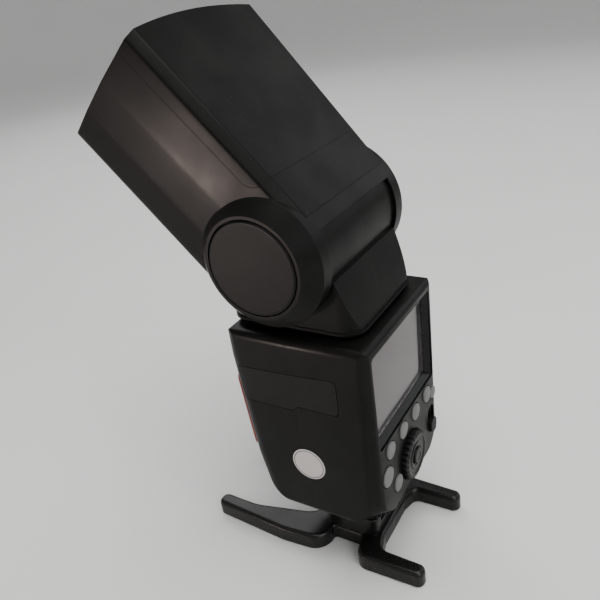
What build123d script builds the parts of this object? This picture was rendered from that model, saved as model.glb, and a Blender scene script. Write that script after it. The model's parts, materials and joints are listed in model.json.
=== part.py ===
from build123d import *
import math
import os

# Speedlight flash on its mini stand, one STEP file for each piece, in millimetres.
# The origin is the mouth of the tripod socket in the stand's underside and +Z is up.
# The level head fires along -Y, so +Y is the screen side, and +X is the side of the port cover.

# ------------------------------------------------------------------ clearances
GAP = 0.3               # air between two pieces that move past each other
FIT = 0.05              # radial clearance of a shaft running in its bore
EASE = 0.1              # air round a piece that only sits in its place

# ------------------------------------------------------------------ mini stand
LEG_THICK = 8.0
STAND_HALF_W = 27.4     # outer faces of the four legs
LEG_TIP_W = 7.2
FRONT_REACH = 69.2      # front leg tips, ahead of the socket
REAR_REACH = 37.8       # rear leg tips, behind the socket
WAIST_HALF_W = 16.0     # the bar between the front and rear legs
WAIST_FRONT = -8.5
WAIST_REAR = 5.4
FRONT_ARCH = -17.0      # bottom of the gap between the front legs
REAR_ARCH = 14.8
SOCKET_R = 3.175        # 1/4"-20 tripod thread at its major radius
SOCKET_DEPTH = 7.0
INSERT_R = 4.6

# ------------------------------------------------------------------ hot shoe
SHOE_HALF_W = 15.0
SHOE_TOP = 17.0
SHOE_FRONT = -12.0
SHOE_REAR = 12.5
FOOT_W = 18.5           # standard accessory foot
FOOT_L = 18.0
FOOT_T = 2.0
FOOT_NECK_W = 12.3
FOOT_SLOT_AIR = 0.15    # per side, between the foot and the shoe
RAIL_T = 2.0            # the two lips that hold the foot down
SPRING_T = 0.3
CONTACT_R = 0.9

# ------------------------------------------------------------------ lock ring and plinth
RING_R = 19.3
RING_H = 5.0
RING_RIBS = 60
RING_BOTTOM = 18.7
RING_HUB_R = 12.0
RING_BORE_R = 5.6
PIN_R = 1.2
PLINTH_HALF_W = 21.0
PLINTH_FRONT = -23.5
PLINTH_REAR = 14.0

# ------------------------------------------------------------------ case
BODY_HALF_W = 32.5
BODY_BOTTOM = 32.4
BODY_TOP = 116.9
BODY_FRONT_TOP = -37.6
BELLY_Y = -37.8
BELLY_Z = 104.0
CHIN_Y = -33.8
CHIN_Z = 56.0
HEEL_Y = -29.4
HEEL_Z = 34.0
REAR_TOP_Y = 24.4
REAR_BOTTOM_Y = 25.2
WALL = 2.0
BODY_EDGE_R = 3.5
FRONT_EDGE_R = 6.0        # top edge of the front
BODY_CORNER_R = 6.0       # upright rear corners
FRONT_CORNER_R = 8.0      # upright front corners
HEEL_CORNER_R = 12.0      # slanted rounding of the two lower front corners
REAR_CORNER_R = 15.0    # the big slanted rounding of the two lower rear corners
PART_TOP_Y = -9.2       # joint between the front and rear case, at the top
PART_BOTTOM_Y = -4.5

# ------------------------------------------------------------------ windows on the case
ASSIST_HALF_W = 26.5
ASSIST_Z = (54.5, 91.5)
ASSIST_PROUD = 2.3
ASSIST_SUNK = 1.2
SCREEN_HALF_W = 28.0    # opening in the rear case
SCREEN_Z = (70.6, 112.4)
SCREEN_Y = 24.2         # outer edge of the bezel's funnel
VIEW_HALF_W = 25.8
VIEW_Z = (73.0, 109.6)
BEZEL_T = 3.4
BEZEL_RIM = 0.4         # flat round the funnel
PANE_T = 1.0
PANE_SUNK = 2.4

# ------------------------------------------------------------------ rear controls: (x, z) of each centre
KEY_R = 3.7
KEY_X = (19.5, 6.5, -6.5, -19.5)
KEY_Z = 65.6
TEST_R = 4.3
TEST_AT = (23.6, 55.4)
MODE_R = 3.7
MODE_AT = (15.2, 45.2)
LOCK_R = 3.0
LOCK_AT = (-27.0, 61.6)
KEY_PROUD = 1.2
KEY_TRAVEL = 0.6
KEY_FLANGE = 0.7        # lip that keeps a key from falling out of its hole
DIAL_AT = (0.0, 48.2)
DIAL_R = 10.8
DIAL_RIBS = 26
DIAL_PROUD = 2.6
SET_R = 3.4
SET_PROUD = 3.2
POWER_AT = (-23.6, 46.6)
POWER_HALF_W = 2.9
POWER_HALF_H = 3.4
POWER_TRAVEL = 6.0
POWER_PROUD = 1.5

# ------------------------------------------------------------------ side of the case
COVER_Y = (-32.5, 11.4)
COVER_Z = (85.0, 100.8)
COVER_STEP_Y = -9.0     # behind this the cover is a little higher
COVER_STEP = 2.3
COVER_T = 1.3
SYNC_R = 1.3            # 2.5 mm sync socket
SYNC_AT = (-2.0, 93.0)

# ------------------------------------------------------------------ inside the case
PACK_Y = (-30.4, -11.0)
PACK_Z = (57.0, 107.0)
PACK_L = 57.0
BAY_WALL = 1.2
LATCH_TRAVEL = 3.0
BOARD_T = 1.6
CONTROL_BOARD_Y = 16.6
POST_R = 2.0
POSTS = ((25.4, 61.0), (25.4, 104.0), (-25.4, 104.0))
TERMINAL_Z = (74.0, 82.0, 90.0)
LATCH_Z = (96.0, 101.0)
DOME_H = 1.0
CAP_R = 10.5
CAP_L = 52.0
CAP_AT = (-16.0, 3.4)
COIL_SIZE = (16.0, 14.0, 18.0)

# ------------------------------------------------------------------ swivel and neck
SWIVEL_Y = -8.5
COLLAR_R = 24.0
COLLAR_H = 1.4
LIP_H = 1.2             # thin edge round the foot of the neck
LIP_PROUD = 0.5
SPIGOT_R = 14.0
SPIGOT_BORE_R = 11.0
NECK_HALF_W = 26.0
NECK_FRONT = -36.7
NECK_REAR = 19.0
NECK_CORNER_R = 8.0
NECK_WALL = 2.0
CREASE_Y = 11.7
CREASE_Z = 139.7
BARREL_R = 24.0
BARREL_HALF_W = 27.0
TILT_Y = -12.4
TILT_Z = 147.8
TILT = 48.0             # how far the head is raised from level
LOWEST_TILT = 7.5       # how far it can drop below level, with a little to spare
AXLE_R = 8.0
AXLE_BORE_R = 5.0
WASHER_T = 1.4          # from the cheek's boss to the washer's outer face

# ------------------------------------------------------------------ head: u forward, v up, x across
HEAD_LEN = 80.0
HEAD_BULGE = 3.8        # how far the middle of the front stands ahead of its corners
HUB_R = 25.3            # round rear end, about the tilt axis
HUB_HALF_W = 33.2
CAP_SEAT_HALF_W = 38.6
HUB_SMALL_R = 19.4      # where its slope meets the flat face round each pivot cap
CAP_DISC_R = 18.0
CAP_DISC_T = 1.8
CAP_PROUD = 0.4
SLOT_AIR = 0.35         # round the neck's barrel
SEAM = ((-40, -5.0), (24, -7.6), (56, -7.4), (95, -3.2))  # upper shell meets lower shell, (u, v)
HEAD_SCREWS = ((31.0, 25.0), (32.6, 70.0))  # (x, u) on each side
HEAD_SCREW_R = 1.0
HEAD_SCREW_HEAD_R = 2.0
HEAD_SCREW_HEAD_H = 1.6
HEAD_SCREW_SEAT = -20.4
HEAD_SCREW_TOP = 1.5
COLUMN_R = 2.8
COLUMN_TOP = 4.0
COLUMN_RIB_L = 5.0
COLUMN_RIB_T = 2.0
COVER_REAR_U = 17.0
COVER_SIDE_V = 18.6
COVER_SEAM_R = 6.0
LENS_HALF_W = 31.5
LENS_V = (-18.0, 17.0)
LENS_T = 2.0
LENS_LIP = 1.8
TRAY_V = (20.8, 24.0)   # front slot for the two sliding panels
TRAY_HALF_W = 29.6
GUIDE_T = 1.1
PANEL_HALF_W = 28.8
PANEL_V = (21.0, 22.5)
CARD_HALF_W = 27.6
CARD_V = (22.8, 23.4)
PANEL_REAR_U = 30.0

# ------------------------------------------------------------------ zoom drive in the head
ROD_R = 1.25
ROD_X = 21.6
ROD_V = -15.0
FRAME_U = (33.0, 75.0)
FRAME_HALF_W = 24.4
FRAME_FLOOR_V = (-20.4, -18.9)
FRAME_END_T = 1.8
FRAME_TOP_V = -13.0
CARRIAGE_U = (44.0, 52.0)
ZOOM_TRAVEL = 14.0
SCREW_X = 27.8
EAR_HALF_W = 1.8        # frame beside the lead screw
SCREW_R = 1.5
MOTOR_R = 3.0
MOTOR_U = (31.0, 42.0)
REFLECTOR_U = (41.0, 60.0)
REFLECTOR_REAR = (20.0, 7.0)    # half width, half height
REFLECTOR_FRONT = (25.0, 12.6)
REFLECTOR_T = 0.8
TUBE_R = 2.4
TUBE_HALF_L = 17.0

# Planes whose first two axes match the names used for the outlines drawn on them.
SIDE = Plane(origin=(0, 0, 0), x_dir=(0, 1, 0), z_dir=(1, 0, 0))            # (y, z), rises along +X
FRONT = Plane(origin=(0, 0, 0), x_dir=(1, 0, 0), z_dir=(0, -1, 0))          # (x, z), rises along -Y
HEAD_SIDE = Plane(origin=(0, 0, 0), x_dir=(0, -1, 0), z_dir=(-1, 0, 0))     # (u, v), rises along -X
WIDE = 60.0             # half width of a tool that cuts right across


# ------------------------------------------------------------------ small helpers
def prism(plane, corners, low, high):
    """Straight block whose outline is given as (a, b, corner radius) on a plane."""
    points = [(a, b) for a, b, _ in corners]
    radii = [radius for _, _, radius in corners]
    face = make_face(FilletPolyline(*points, radius=radii, close=True))
    return extrude(plane.offset(low) * face, amount=high - low, dir=plane.z_dir)


def block(x, y, z):
    """Box between a low and a high value along each axis."""
    centre = Pos((x[0] + x[1]) / 2, (y[0] + y[1]) / 2, (z[0] + z[1]) / 2)
    return centre * Box(x[1] - x[0], y[1] - y[0], z[1] - z[0])


def head_block(x, u, v):
    """Box in the head's own lateral, forward and upward directions."""
    return block(x, (-u[1], -u[0]), v)


def rod(axis, a, b, radius, low, high):
    """Cylinder along X, Y or Z; a and b are its two other coordinates, in X, Y, Z order."""
    middle = (low + high) / 2
    solid = Cylinder(radius, high - low)
    if axis == "X":
        return Pos(middle, a, b) * Rot(0, 90, 0) * solid
    if axis == "Y":
        return Pos(a, middle, b) * Rot(90, 0, 0) * solid
    return Pos(a, b, middle) * solid


def rectangle(a, b, radius):
    """Corners of a rectangle between two pairs of limits, all rounded alike."""
    return [(a[0], b[0], radius), (a[1], b[0], radius), (a[1], b[1], radius), (a[0], b[1], radius)]


def both_sides(shape):
    """The shape and its mirror image across the middle plane."""
    return shape + mirror(shape, about=Plane.YZ)


def to_head(shape):
    """Move a shape from the level head at the origin to the raised head on its axis."""
    return Pos(0, TILT_Y, TILT_Z) * Rot(-TILT, 0, 0) * shape


def rear_y(z):
    """Where the rear face of the case lies at a height."""
    share = (BODY_TOP - z) / (BODY_TOP - BODY_BOTTOM)
    return REAR_TOP_Y + share * (REAR_BOTTOM_Y - REAR_TOP_Y)


# ------------------------------------------------------------------ mini stand
def stand_corners():
    """Plan outline of one half of the stand, from the front arch round to the rear arch."""
    inner = STAND_HALF_W - LEG_TIP_W
    return [
        (WAIST_HALF_W - 5.0, FRONT_ARCH, 11.0),
        (inner - 1.6, -FRONT_REACH * 0.72, 30.0),
        (inner - 2.0, -FRONT_REACH, LEG_TIP_W * 0.46),
        (STAND_HALF_W - 2.0, -FRONT_REACH, LEG_TIP_W * 0.46),
        (STAND_HALF_W + 0.4, -FRONT_REACH * 0.43, 30.0),
        (STAND_HALF_W - 1.2, WAIST_FRONT, 9.0),
        (WAIST_HALF_W, WAIST_FRONT, 1.5),
        (WAIST_HALF_W, WAIST_REAR, 1.5),
        (STAND_HALF_W, WAIST_REAR + 2.4, 5.5),
        (STAND_HALF_W - 0.8, REAR_REACH, LEG_TIP_W * 0.44),
        (STAND_HALF_W - LEG_TIP_W - 0.4, REAR_REACH, LEG_TIP_W * 0.44),
        (STAND_HALF_W - LEG_TIP_W - 0.8, REAR_ARCH + 2.2, 4.0),
        (STAND_HALF_W - LEG_TIP_W - 9.0, REAR_ARCH, 3.0),
    ]


def foot_slot(air):
    """The space that the hot-shoe foot takes in the shoe, with air round it, open to the rear."""
    half = FOOT_W / 2 + air
    floor = SHOE_TOP - RAIL_T - FOOT_T - 2 * air
    plate = block((-half, half), (-FOOT_L / 2 - air, SHOE_REAR + 1), (floor, SHOE_TOP - RAIL_T))
    neck_half = FOOT_NECK_W / 2 + air
    neck = block((-neck_half, neck_half), (-FOOT_L / 2 - air, SHOE_REAR + 1), (floor, SHOE_TOP + 1))
    return plate + neck


def mini_stand():
    half = stand_corners()
    other = [(-x, y, radius) for x, y, radius in reversed(half)]
    legs = prism(Plane.XY, half + other, 0, LEG_THICK)
    legs = fillet(legs.faces().sort_by(Axis.Z)[-1].edges(), 2.2)
    legs = chamfer(legs.faces().sort_by(Axis.Z)[0].edges(), 0.6)
    shoe_plan = rectangle((-SHOE_HALF_W, SHOE_HALF_W), (SHOE_FRONT, SHOE_REAR), 3.0)
    shoe = prism(Plane.XY, shoe_plan, LEG_THICK / 2, SHOE_TOP)
    shoe = fillet(shoe.faces().sort_by(Axis.Z)[-1].edges(), 0.8)
    socket = rod("Z", 0, 0, INSERT_R, -1, SOCKET_DEPTH)
    return legs + shoe - foot_slot(FOOT_SLOT_AIR) - socket - shoe_spring(EASE)


def tripod_insert():
    return rod("Z", 0, 0, INSERT_R, 0, SOCKET_DEPTH) - rod("Z", 0, 0, SOCKET_R, -1, SOCKET_DEPTH + 1)


def shoe_spring(air=0.0):
    """Flat spring in the shoe's floor, let in flush, that keeps the foot from rattling."""
    top = SHOE_TOP - RAIL_T - FOOT_T - 2 * FOOT_SLOT_AIR
    side = 7.0 + air
    return block((-side, side), (-7.5 - air, 7.5 + air), (top - SPRING_T - air, top))


# ------------------------------------------------------------------ foot, lock ring and plinth
FOOT_BOTTOM = SHOE_TOP - RAIL_T - FOOT_T - FOOT_SLOT_AIR
FOOT_TOP = SHOE_TOP - RAIL_T - FOOT_SLOT_AIR
PLINTH_BOTTOM = RING_BOTTOM + RING_H + GAP


def foot_plate():
    """Metal foot: the plate in the shoe, its neck and the threaded stem of the lock ring."""
    half_l = FOOT_L / 2
    outline = rectangle((-FOOT_W / 2, FOOT_W / 2), (-half_l, half_l), 1.0)
    plate = prism(Plane.XY, outline, FOOT_BOTTOM, FOOT_TOP)
    neck = block((-FOOT_NECK_W / 2, FOOT_NECK_W / 2), (-half_l, half_l), (FOOT_TOP, SHOE_TOP + 0.1))
    stem = rod("Z", 0, 0, RING_BORE_R - FIT, SHOE_TOP, PLINTH_BOTTOM)
    foot = plate + neck + stem
    foot -= rod("Z", 0, -half_l + 2.6, PIN_R + FIT, FOOT_BOTTOM - 1, SHOE_TOP + 1)
    for x, y in contact_places():
        foot -= rod("Z", x, y, CONTACT_R + EASE, FOOT_BOTTOM - 1, FOOT_BOTTOM + 1.2)
    return foot


def contact_places():
    """Centre contact and four smaller ones round it."""
    return [(0, 0), (-3.6, 3.4), (0, 4.6), (3.6, 3.4), (3.6, -2.6)]


def foot_contacts():
    pins = [rod("Z", x, y, CONTACT_R, FOOT_BOTTOM - 0.05, FOOT_BOTTOM + 1.2) for x, y in contact_places()]
    return Compound(children=[Part(pin.wrapped) for pin in pins])


def lock_ring():
    """Knurled ring that screws down on the shoe, with a smooth hub under it."""
    ring = rod("Z", 0, 0, RING_R, RING_BOTTOM, RING_BOTTOM + RING_H)
    ring = chamfer(ring.edges(), 0.5)
    groove_r = math.pi * RING_R / RING_RIBS / 2
    for index in range(RING_RIBS):
        angle = math.radians(360 * index / RING_RIBS)
        x = RING_R * math.cos(angle)
        y = RING_R * math.sin(angle)
        ring -= rod("Z", x, y, groove_r, RING_BOTTOM - 1, RING_BOTTOM + RING_H + 1)
    hub = rod("Z", 0, 0, RING_HUB_R, SHOE_TOP + GAP, RING_BOTTOM)
    return ring + hub - rod("Z", 0, 0, RING_BORE_R, SHOE_TOP, RING_BOTTOM + RING_H + 1)


def lock_pin():
    """Small pin in the foot's neck that drops into the shoe when the ring is turned."""
    y = -FOOT_L / 2 + 2.6
    return rod("Z", 0, y, PIN_R, FOOT_BOTTOM, SHOE_TOP)


def foot_plinth():
    plan = rectangle((-PLINTH_HALF_W, PLINTH_HALF_W), (PLINTH_FRONT, PLINTH_REAR), 4.0)
    plinth = prism(Plane.XY, plan, PLINTH_BOTTOM, BODY_BOTTOM)
    plinth = chamfer(plinth.faces().sort_by(Axis.Z)[0].edges(), 0.8)
    for x, y in plinth_screw_places():
        plinth -= rod("Z", x, y, 2.1, PLINTH_BOTTOM - 1, PLINTH_BOTTOM + 2)
        plinth -= rod("Z", x, y, 1.05, PLINTH_BOTTOM, BODY_BOTTOM + 1)
    return plinth


def plinth_screw_places():
    side = PLINTH_HALF_W - 4.0
    return [(x, y) for x in (-side, side) for y in (PLINTH_FRONT + 4.5, PLINTH_REAR - 4.5)]


def plinth_screws():
    screws = []
    for x, y in plinth_screw_places():
        head = rod("Z", x, y, 2.0, PLINTH_BOTTOM + 0.4, PLINTH_BOTTOM + 2)
        shank = rod("Z", x, y, 1.0, PLINTH_BOTTOM + 2, BODY_BOTTOM + WALL + 2)
        screws.append(head + shank)
    return Compound(children=screws)


# ------------------------------------------------------------------ case
def body_block(inset):
    """Outer form of the case, drawn in by a wall: side view, front view and plan together."""
    top = BODY_TOP - inset
    bottom = BODY_BOTTOM + inset
    half = BODY_HALF_W - inset
    edge = max(BODY_EDGE_R - inset, 0.5)
    side_view = prism(SIDE, [
        (REAR_TOP_Y - inset, top, edge),
        (BODY_FRONT_TOP + inset, top, max(FRONT_EDGE_R - inset, 0.5)),
        (BELLY_Y + inset, BELLY_Z, 30.0),
        (CHIN_Y + inset, CHIN_Z, 12.0),
        (HEEL_Y + inset, HEEL_Z + inset, 5.0),
        (HEEL_Y + 11.0, bottom, 8.0),
        (REAR_BOTTOM_Y - inset, bottom, edge),
    ], -half, half)
    front_view = prism(FRONT, rectangle((-half, half), (bottom, top), edge), -WIDE, WIDE)
    corner = BODY_CORNER_R - inset
    plan = prism(Plane.XY, rectangle((-half, half), (BELLY_Y - 4.0, REAR_BOTTOM_Y - inset), corner), 0, 2 * WIDE)
    shape = side_view & front_view & plan & front_rounding(inset)
    for sign in (-1, 1):
        shape -= corner_cut(sign, 1, REAR_BOTTOM_Y, BODY_CORNER_R, REAR_CORNER_R, inset)
        shape -= corner_cut(sign, -1, -heel_y(BODY_BOTTOM + HEEL_CORNER_R), FRONT_CORNER_R, HEEL_CORNER_R, inset)
    return shape


def heel_y(z):
    """Where the slanted foot of the front face lies at a height."""
    return HEEL_Y + (z - HEEL_Z) / (CHIN_Z - HEEL_Z) * (CHIN_Y - HEEL_Y)


def front_rounding(inset):
    """Everything inside the upright front corners, whose rounding follows the slant of the front face."""
    half = BODY_HALF_W - inset
    radius = FRONT_CORNER_R - inset
    heights = (
        (BODY_BOTTOM - 10, heel_y(BODY_BOTTOM - 10)), (CHIN_Z, CHIN_Y), (BELLY_Z, BELLY_Y),
        (BODY_TOP + 10, BELLY_Y),
    )
    parts = []
    for (z0, y0), (z1, y1) in zip(heights, heights[1:]):
        ends = []
        for z, y in ((z0, y0), (z1, y1)):
            depth = WIDE - y - inset
            plane = Plane(origin=(0, (WIDE + y + inset) / 2, z), x_dir=(1, 0, 0), z_dir=(0, 0, 1))
            ends.append(plane * RectangleRounded(2 * half, depth, radius))
        parts.append(loft(ends, ruled=True))
    return parts[0] + parts[1] + parts[2]


def corner_cut(side, end, end_y, corner, rounding, inset):
    """What the slanted rounding takes off one lower corner of the case; end is 1 at the rear, -1 at the front."""
    reach = (BODY_HALF_W + end_y - 2 * corner) / math.sqrt(2) + corner - inset
    radius = rounding - inset
    across = (side / math.sqrt(2), end / math.sqrt(2), 0)
    along = (end / math.sqrt(2), -side / math.sqrt(2), 0)
    plane = Plane(origin=(0, 0, BODY_BOTTOM + inset), x_dir=across, z_dir=along)
    up = plane.y_dir.Z
    beyond = 8.0
    outline = rectangle((reach - radius, reach + beyond), sorted((-beyond * up, radius * up)), 0)
    round_part = plane * Pos(reach - radius, radius * up, 0) * Cylinder(radius, 3 * WIDE)
    return prism(plane, outline, -WIDE, WIDE) - round_part


def behind_parting():
    """Everything behind the slightly slanted joint of the two case halves."""
    corners = [(PART_TOP_Y, 130, 0), (WIDE, 130, 0), (WIDE, 20, 0), (PART_BOTTOM_Y, 20, 0)]
    return prism(SIDE, corners, -WIDE, WIDE)


def cover_outline(air):
    """The port cover seen from the side: a long rectangle, stepped up a little at the rear."""
    return [
        (COVER_Y[0] - air, COVER_Z[0] - air, 1.6),
        (COVER_STEP_Y, COVER_Z[0] - air, 2.0),
        (COVER_STEP_Y + 2.4, COVER_Z[0] + COVER_STEP - air, 2.0),
        (COVER_Y[1] + air, COVER_Z[0] + COVER_STEP - air, 2.0),
        (COVER_Y[1] + air, COVER_Z[1] + COVER_STEP + air, 2.0),
        (COVER_STEP_Y, COVER_Z[1] + 0.9 + air, 4.0),
        (COVER_Y[0] - air, COVER_Z[1] + air, 1.6),
    ]


def case_shell():
    """Both case halves in one, with every opening cut."""
    shell = body_block(0) - body_block(WALL)
    shell -= prism(SIDE, cover_outline(EASE), BODY_HALF_W - COVER_T, BODY_HALF_W + 1)
    shell -= rod("X", *SYNC_AT, SYNC_R, BODY_HALF_W - WALL - 1, BODY_HALF_W)
    shell -= block((BODY_HALF_W - WALL - 1, BODY_HALF_W), wireless_port_y(), wireless_port_z())
    shell -= block((-BODY_HALF_W - 1, -BODY_HALF_W + FRONT_CORNER_R), grow(PACK_Y, GAP), grow(PACK_Z, GAP))
    shell -= assist_window_space(EASE)
    screen = rectangle((-SCREEN_HALF_W, SCREEN_HALF_W), SCREEN_Z, 2.0)
    shell -= prism(FRONT, screen, -REAR_BOTTOM_Y - 1, -SCREEN_Y + BEZEL_T)
    for x, z, radius in key_places():
        shell -= rod("Y", x, z, radius + GAP, REAR_TOP_Y - 8, REAR_BOTTOM_Y + 1)
    shell -= rod("Y", *DIAL_AT, DIAL_R + GAP, DIAL_SEAT, REAR_BOTTOM_Y + 1)
    shell -= rod("Y", *DIAL_AT, DIAL_STEM_R + FIT, DIAL_SEAT - 8, REAR_BOTTOM_Y + 1)
    shell -= power_slot()
    shell -= rod("Z", 0, SWIVEL_Y, COLLAR_R, BODY_TOP - WALL - 1, BODY_TOP + 1)
    for x, y in plinth_screw_places():
        shell -= rod("Z", x, y, 1.05, BODY_BOTTOM - 1, BODY_BOTTOM + WALL + 1)
    return shell


def grow(limits, by):
    return (limits[0] - by, limits[1] + by)


def front_case(shell):
    return shell - behind_parting()


def rear_case(shell):
    return shell & behind_parting()


def assist_window_space(air):
    """Red window's place: it follows the front face, partly sunk and partly proud."""
    skin = body_block(-ASSIST_PROUD if air == 0 else -ASSIST_PROUD - 2) - body_block(ASSIST_SUNK + air)
    half = ASSIST_HALF_W + air
    z = grow(ASSIST_Z, air)
    return skin & prism(FRONT, rectangle((-half, half), z, 3.0), 20, WIDE)


def assist_window():
    return assist_window_space(0)


# ------------------------------------------------------------------ screen
def lcd_bezel():
    """Frame whose inner sides slope down to the pane like a shallow funnel."""
    outer = rectangle((-SCREEN_HALF_W + EASE, SCREEN_HALF_W - EASE), grow(SCREEN_Z, -EASE), 1.9)
    view = rectangle((-VIEW_HALF_W, VIEW_HALF_W), VIEW_Z, 0.6)
    frame = prism(FRONT, outer, -SCREEN_Y, -SCREEN_Y + BEZEL_T)
    frame -= prism(FRONT, view, -SCREEN_Y - 1, -SCREEN_Y + BEZEL_T + 1)
    mouths = []
    for y, half, z in (
        (SCREEN_Y, SCREEN_HALF_W - EASE - BEZEL_RIM, grow(SCREEN_Z, -EASE - BEZEL_RIM)),
        (SCREEN_Y - PANE_SUNK, VIEW_HALF_W, VIEW_Z),
    ):
        plane = Plane(origin=(0, y, (z[0] + z[1]) / 2), x_dir=(1, 0, 0), z_dir=(0, -1, 0))
        mouths.append(plane * RectangleRounded(2 * half, z[1] - z[0], 0.6))
    return frame - loft(mouths, ruled=True)


def lcd_window():
    """Clear pane at the foot of the funnel."""
    view = rectangle((-VIEW_HALF_W + EASE, VIEW_HALF_W - EASE), grow(VIEW_Z, -EASE), 0.5)
    return prism(FRONT, view, -SCREEN_Y + PANE_SUNK, -SCREEN_Y + PANE_SUNK + PANE_T)


def lcd_panel():
    """Display module behind the pane, resting on the control board."""
    front = SCREEN_Y - BEZEL_T
    return block((-27, 27), (CONTROL_BOARD_Y + BOARD_T, front), (71.0, 111.6))


# ------------------------------------------------------------------ rear controls
DIAL_STEM_R = 5.2
DIAL_SEAT = rear_y(DIAL_AT[1]) - 1.2


def key_places():
    """Centre and radius of each round key beside the dial."""
    keys = [(x, KEY_Z, KEY_R) for x in KEY_X]
    keys.append((*TEST_AT, TEST_R))
    keys.append((*MODE_AT, MODE_R))
    keys.append((*LOCK_AT, LOCK_R))
    return keys


def key(x, z, radius):
    """Domed key: a cap in its hole and a lip behind the wall."""
    face = rear_y(z) + KEY_PROUD
    if abs(x) > BODY_HALF_W - BODY_CORNER_R:
        face -= 0.5
    inner = rear_y(z) - WALL
    cap = rod("Y", x, z, radius, inner - 0.2, face)
    cap = fillet(cap.faces().sort_by(Axis.Y)[-1].edges(), 0.7)
    lip = rod("Y", x, z, radius + KEY_FLANGE, inner - 1.2, inner - 0.2)
    return cap + (lip & body_block(WALL + 0.2))


def key_domes():
    """Rubber dome under each key, on the control board."""
    domes = []
    for x, z, radius in key_places():
        top = rear_y(z) - WALL - 1.2 - KEY_TRAVEL - 0.1
        domes.append(rod("Y", x, z, radius - 0.8, CONTROL_BOARD_Y + BOARD_T, top))
    return Compound(children=[Part(dome.wrapped) for dome in domes])


def select_dial():
    """Ribbed dial on a hollow stem, with the set key in its middle."""
    x, z = DIAL_AT
    face = rear_y(z) + DIAL_PROUD
    dial = rod("Y", x, z, DIAL_R, DIAL_SEAT + GAP, face)
    dial = chamfer(dial.faces().sort_by(Axis.Y)[-1].edges(), 0.8)
    groove_r = math.pi * DIAL_R / DIAL_RIBS / 2
    for index in range(DIAL_RIBS):
        angle = math.radians(360 * index / DIAL_RIBS)
        gx = x + DIAL_R * math.cos(angle)
        gz = z + DIAL_R * math.sin(angle)
        dial -= rod("Y", gx, gz, groove_r, DIAL_SEAT, face + 1)
    dish = rod("Y", x, z, DIAL_R * 0.55, face - 0.6, face + 1)
    stem = rod("Y", x, z, DIAL_STEM_R, rear_y(z) - WALL - 2.0, DIAL_SEAT + GAP + 0.5)
    clip = rod("Y", x, z, DIAL_STEM_R + 1.0, rear_y(z) - WALL - 2.0, rear_y(z) - WALL - 0.5)
    return dial - dish + stem + clip - rod("Y", x, z, SET_R + GAP, CONTROL_BOARD_Y, face + 1)


def set_key():
    x, z = DIAL_AT
    face = rear_y(z) + SET_PROUD
    inner = rear_y(z) - WALL - 2.4
    cap = rod("Y", x, z, SET_R, inner, face)
    cap = fillet(cap.faces().sort_by(Axis.Y)[-1].edges(), 0.6)
    return cap + rod("Y", x, z, SET_R + 1.0, inner - 1.0, inner)


def power_slot():
    """Sunk track of the power switch, with a narrow way through to the board."""
    x, z = POWER_AT
    wide = rectangle(grow((x, x), POWER_HALF_W + GAP), (z - POWER_HALF_H - GAP, z + POWER_HALF_H + POWER_TRAVEL + GAP), 2.4)
    floor = rear_y(z) - 1.0
    track = prism(FRONT, wide, -REAR_BOTTOM_Y - 1, -floor)
    narrow = block(grow((x, x), 1.0 + GAP), (floor - 3, floor + 1), (z - 1.5 - GAP, z + 1.5 + POWER_TRAVEL + GAP))
    return track + narrow


def power_switch():
    x, z = POWER_AT
    face = rear_y(z) + POWER_PROUD
    floor = rear_y(z) - 1.0
    plan = rectangle(grow((x, x), POWER_HALF_W), grow((z, z), POWER_HALF_H), 2.2)
    knob = prism(FRONT, plan, -face, -floor - GAP)
    for index in range(4):
        groove_z = z - 2.1 + 1.4 * index
        knob -= rod("X", face, groove_z, 0.45, x - 5, x + 5)
    tongue = block(grow((x, x), 1.0), (floor - 1.8, floor + 1), grow((z, z), 1.5))
    foot = block(grow((x, x), 2.0), (floor - 2.6, floor - 1.6), grow((z, z), 2.4))
    return knob + tongue + (foot & body_block(WALL + 0.2))


# ------------------------------------------------------------------ side of the case
def port_cover():
    return prism(SIDE, cover_outline(-EASE), BODY_HALF_W - COVER_T + EASE, BODY_HALF_W) & body_block(0)


def wireless_port_y():
    return (2.6, 9.4)


def wireless_port_z():
    return (91.6, 94.4)


def port_block():
    """Sync and wireless sockets on one carrier, behind the cover."""
    inner = BODY_HALF_W - WALL
    carrier = block((inner - 8, inner), (-5.5, 11.5), (89.5, 96.5))
    carrier -= rod("X", *SYNC_AT, SYNC_R, inner - 7, inner + 1)
    return carrier - block((inner - 6, inner + 1), wireless_port_y(), wireless_port_z())


# ------------------------------------------------------------------ inside the case
def bay_outer():
    return block((-BODY_HALF_W + WALL, PACK_INNER_X + 3.4), grow(PACK_Y, GAP + BAY_WALL), grow(PACK_Z, GAP + BAY_WALL))


PACK_INNER_X = -BODY_HALF_W + PACK_L


def battery_bay():
    """Open-ended tub that guides the battery, with pillars that hold the control board."""
    space = block((-BODY_HALF_W, PACK_INNER_X + 2.2), grow(PACK_Y, GAP), grow(PACK_Z, GAP))
    bay = (bay_outer() & body_block(WALL + EASE)) - space
    for x, z in POSTS:
        bay += rod("Y", x, z, POST_R, board_y() - 0.5, CONTROL_BOARD_Y)
    return bay


def board_y():
    """Rear face of the battery bay, which the power board lies on."""
    return PACK_Y[1] + GAP + BAY_WALL


def battery_pack():
    """Slide-in battery; its outer end closes the side of the case."""
    pack = block((-BODY_HALF_W, PACK_INNER_X), PACK_Y, PACK_Z)
    pack &= body_block(0)
    pack = pack - latch_space(GAP)
    for z in TERMINAL_Z:
        pack -= block((PACK_INNER_X - 6, PACK_INNER_X + 1), (-22.3, -19.1), (z - 0.8, z + 0.8))
    return pack


def latch_space(air):
    """Pocket of the latch in the outer end of the battery."""
    y = (-25.0 - air, -17.0 + LATCH_TRAVEL * (1 if air else 0) + air)
    return block((-BODY_HALF_W - 0.01, -BODY_HALF_W + 2.6 + air), y, grow(LATCH_Z, air))


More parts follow.
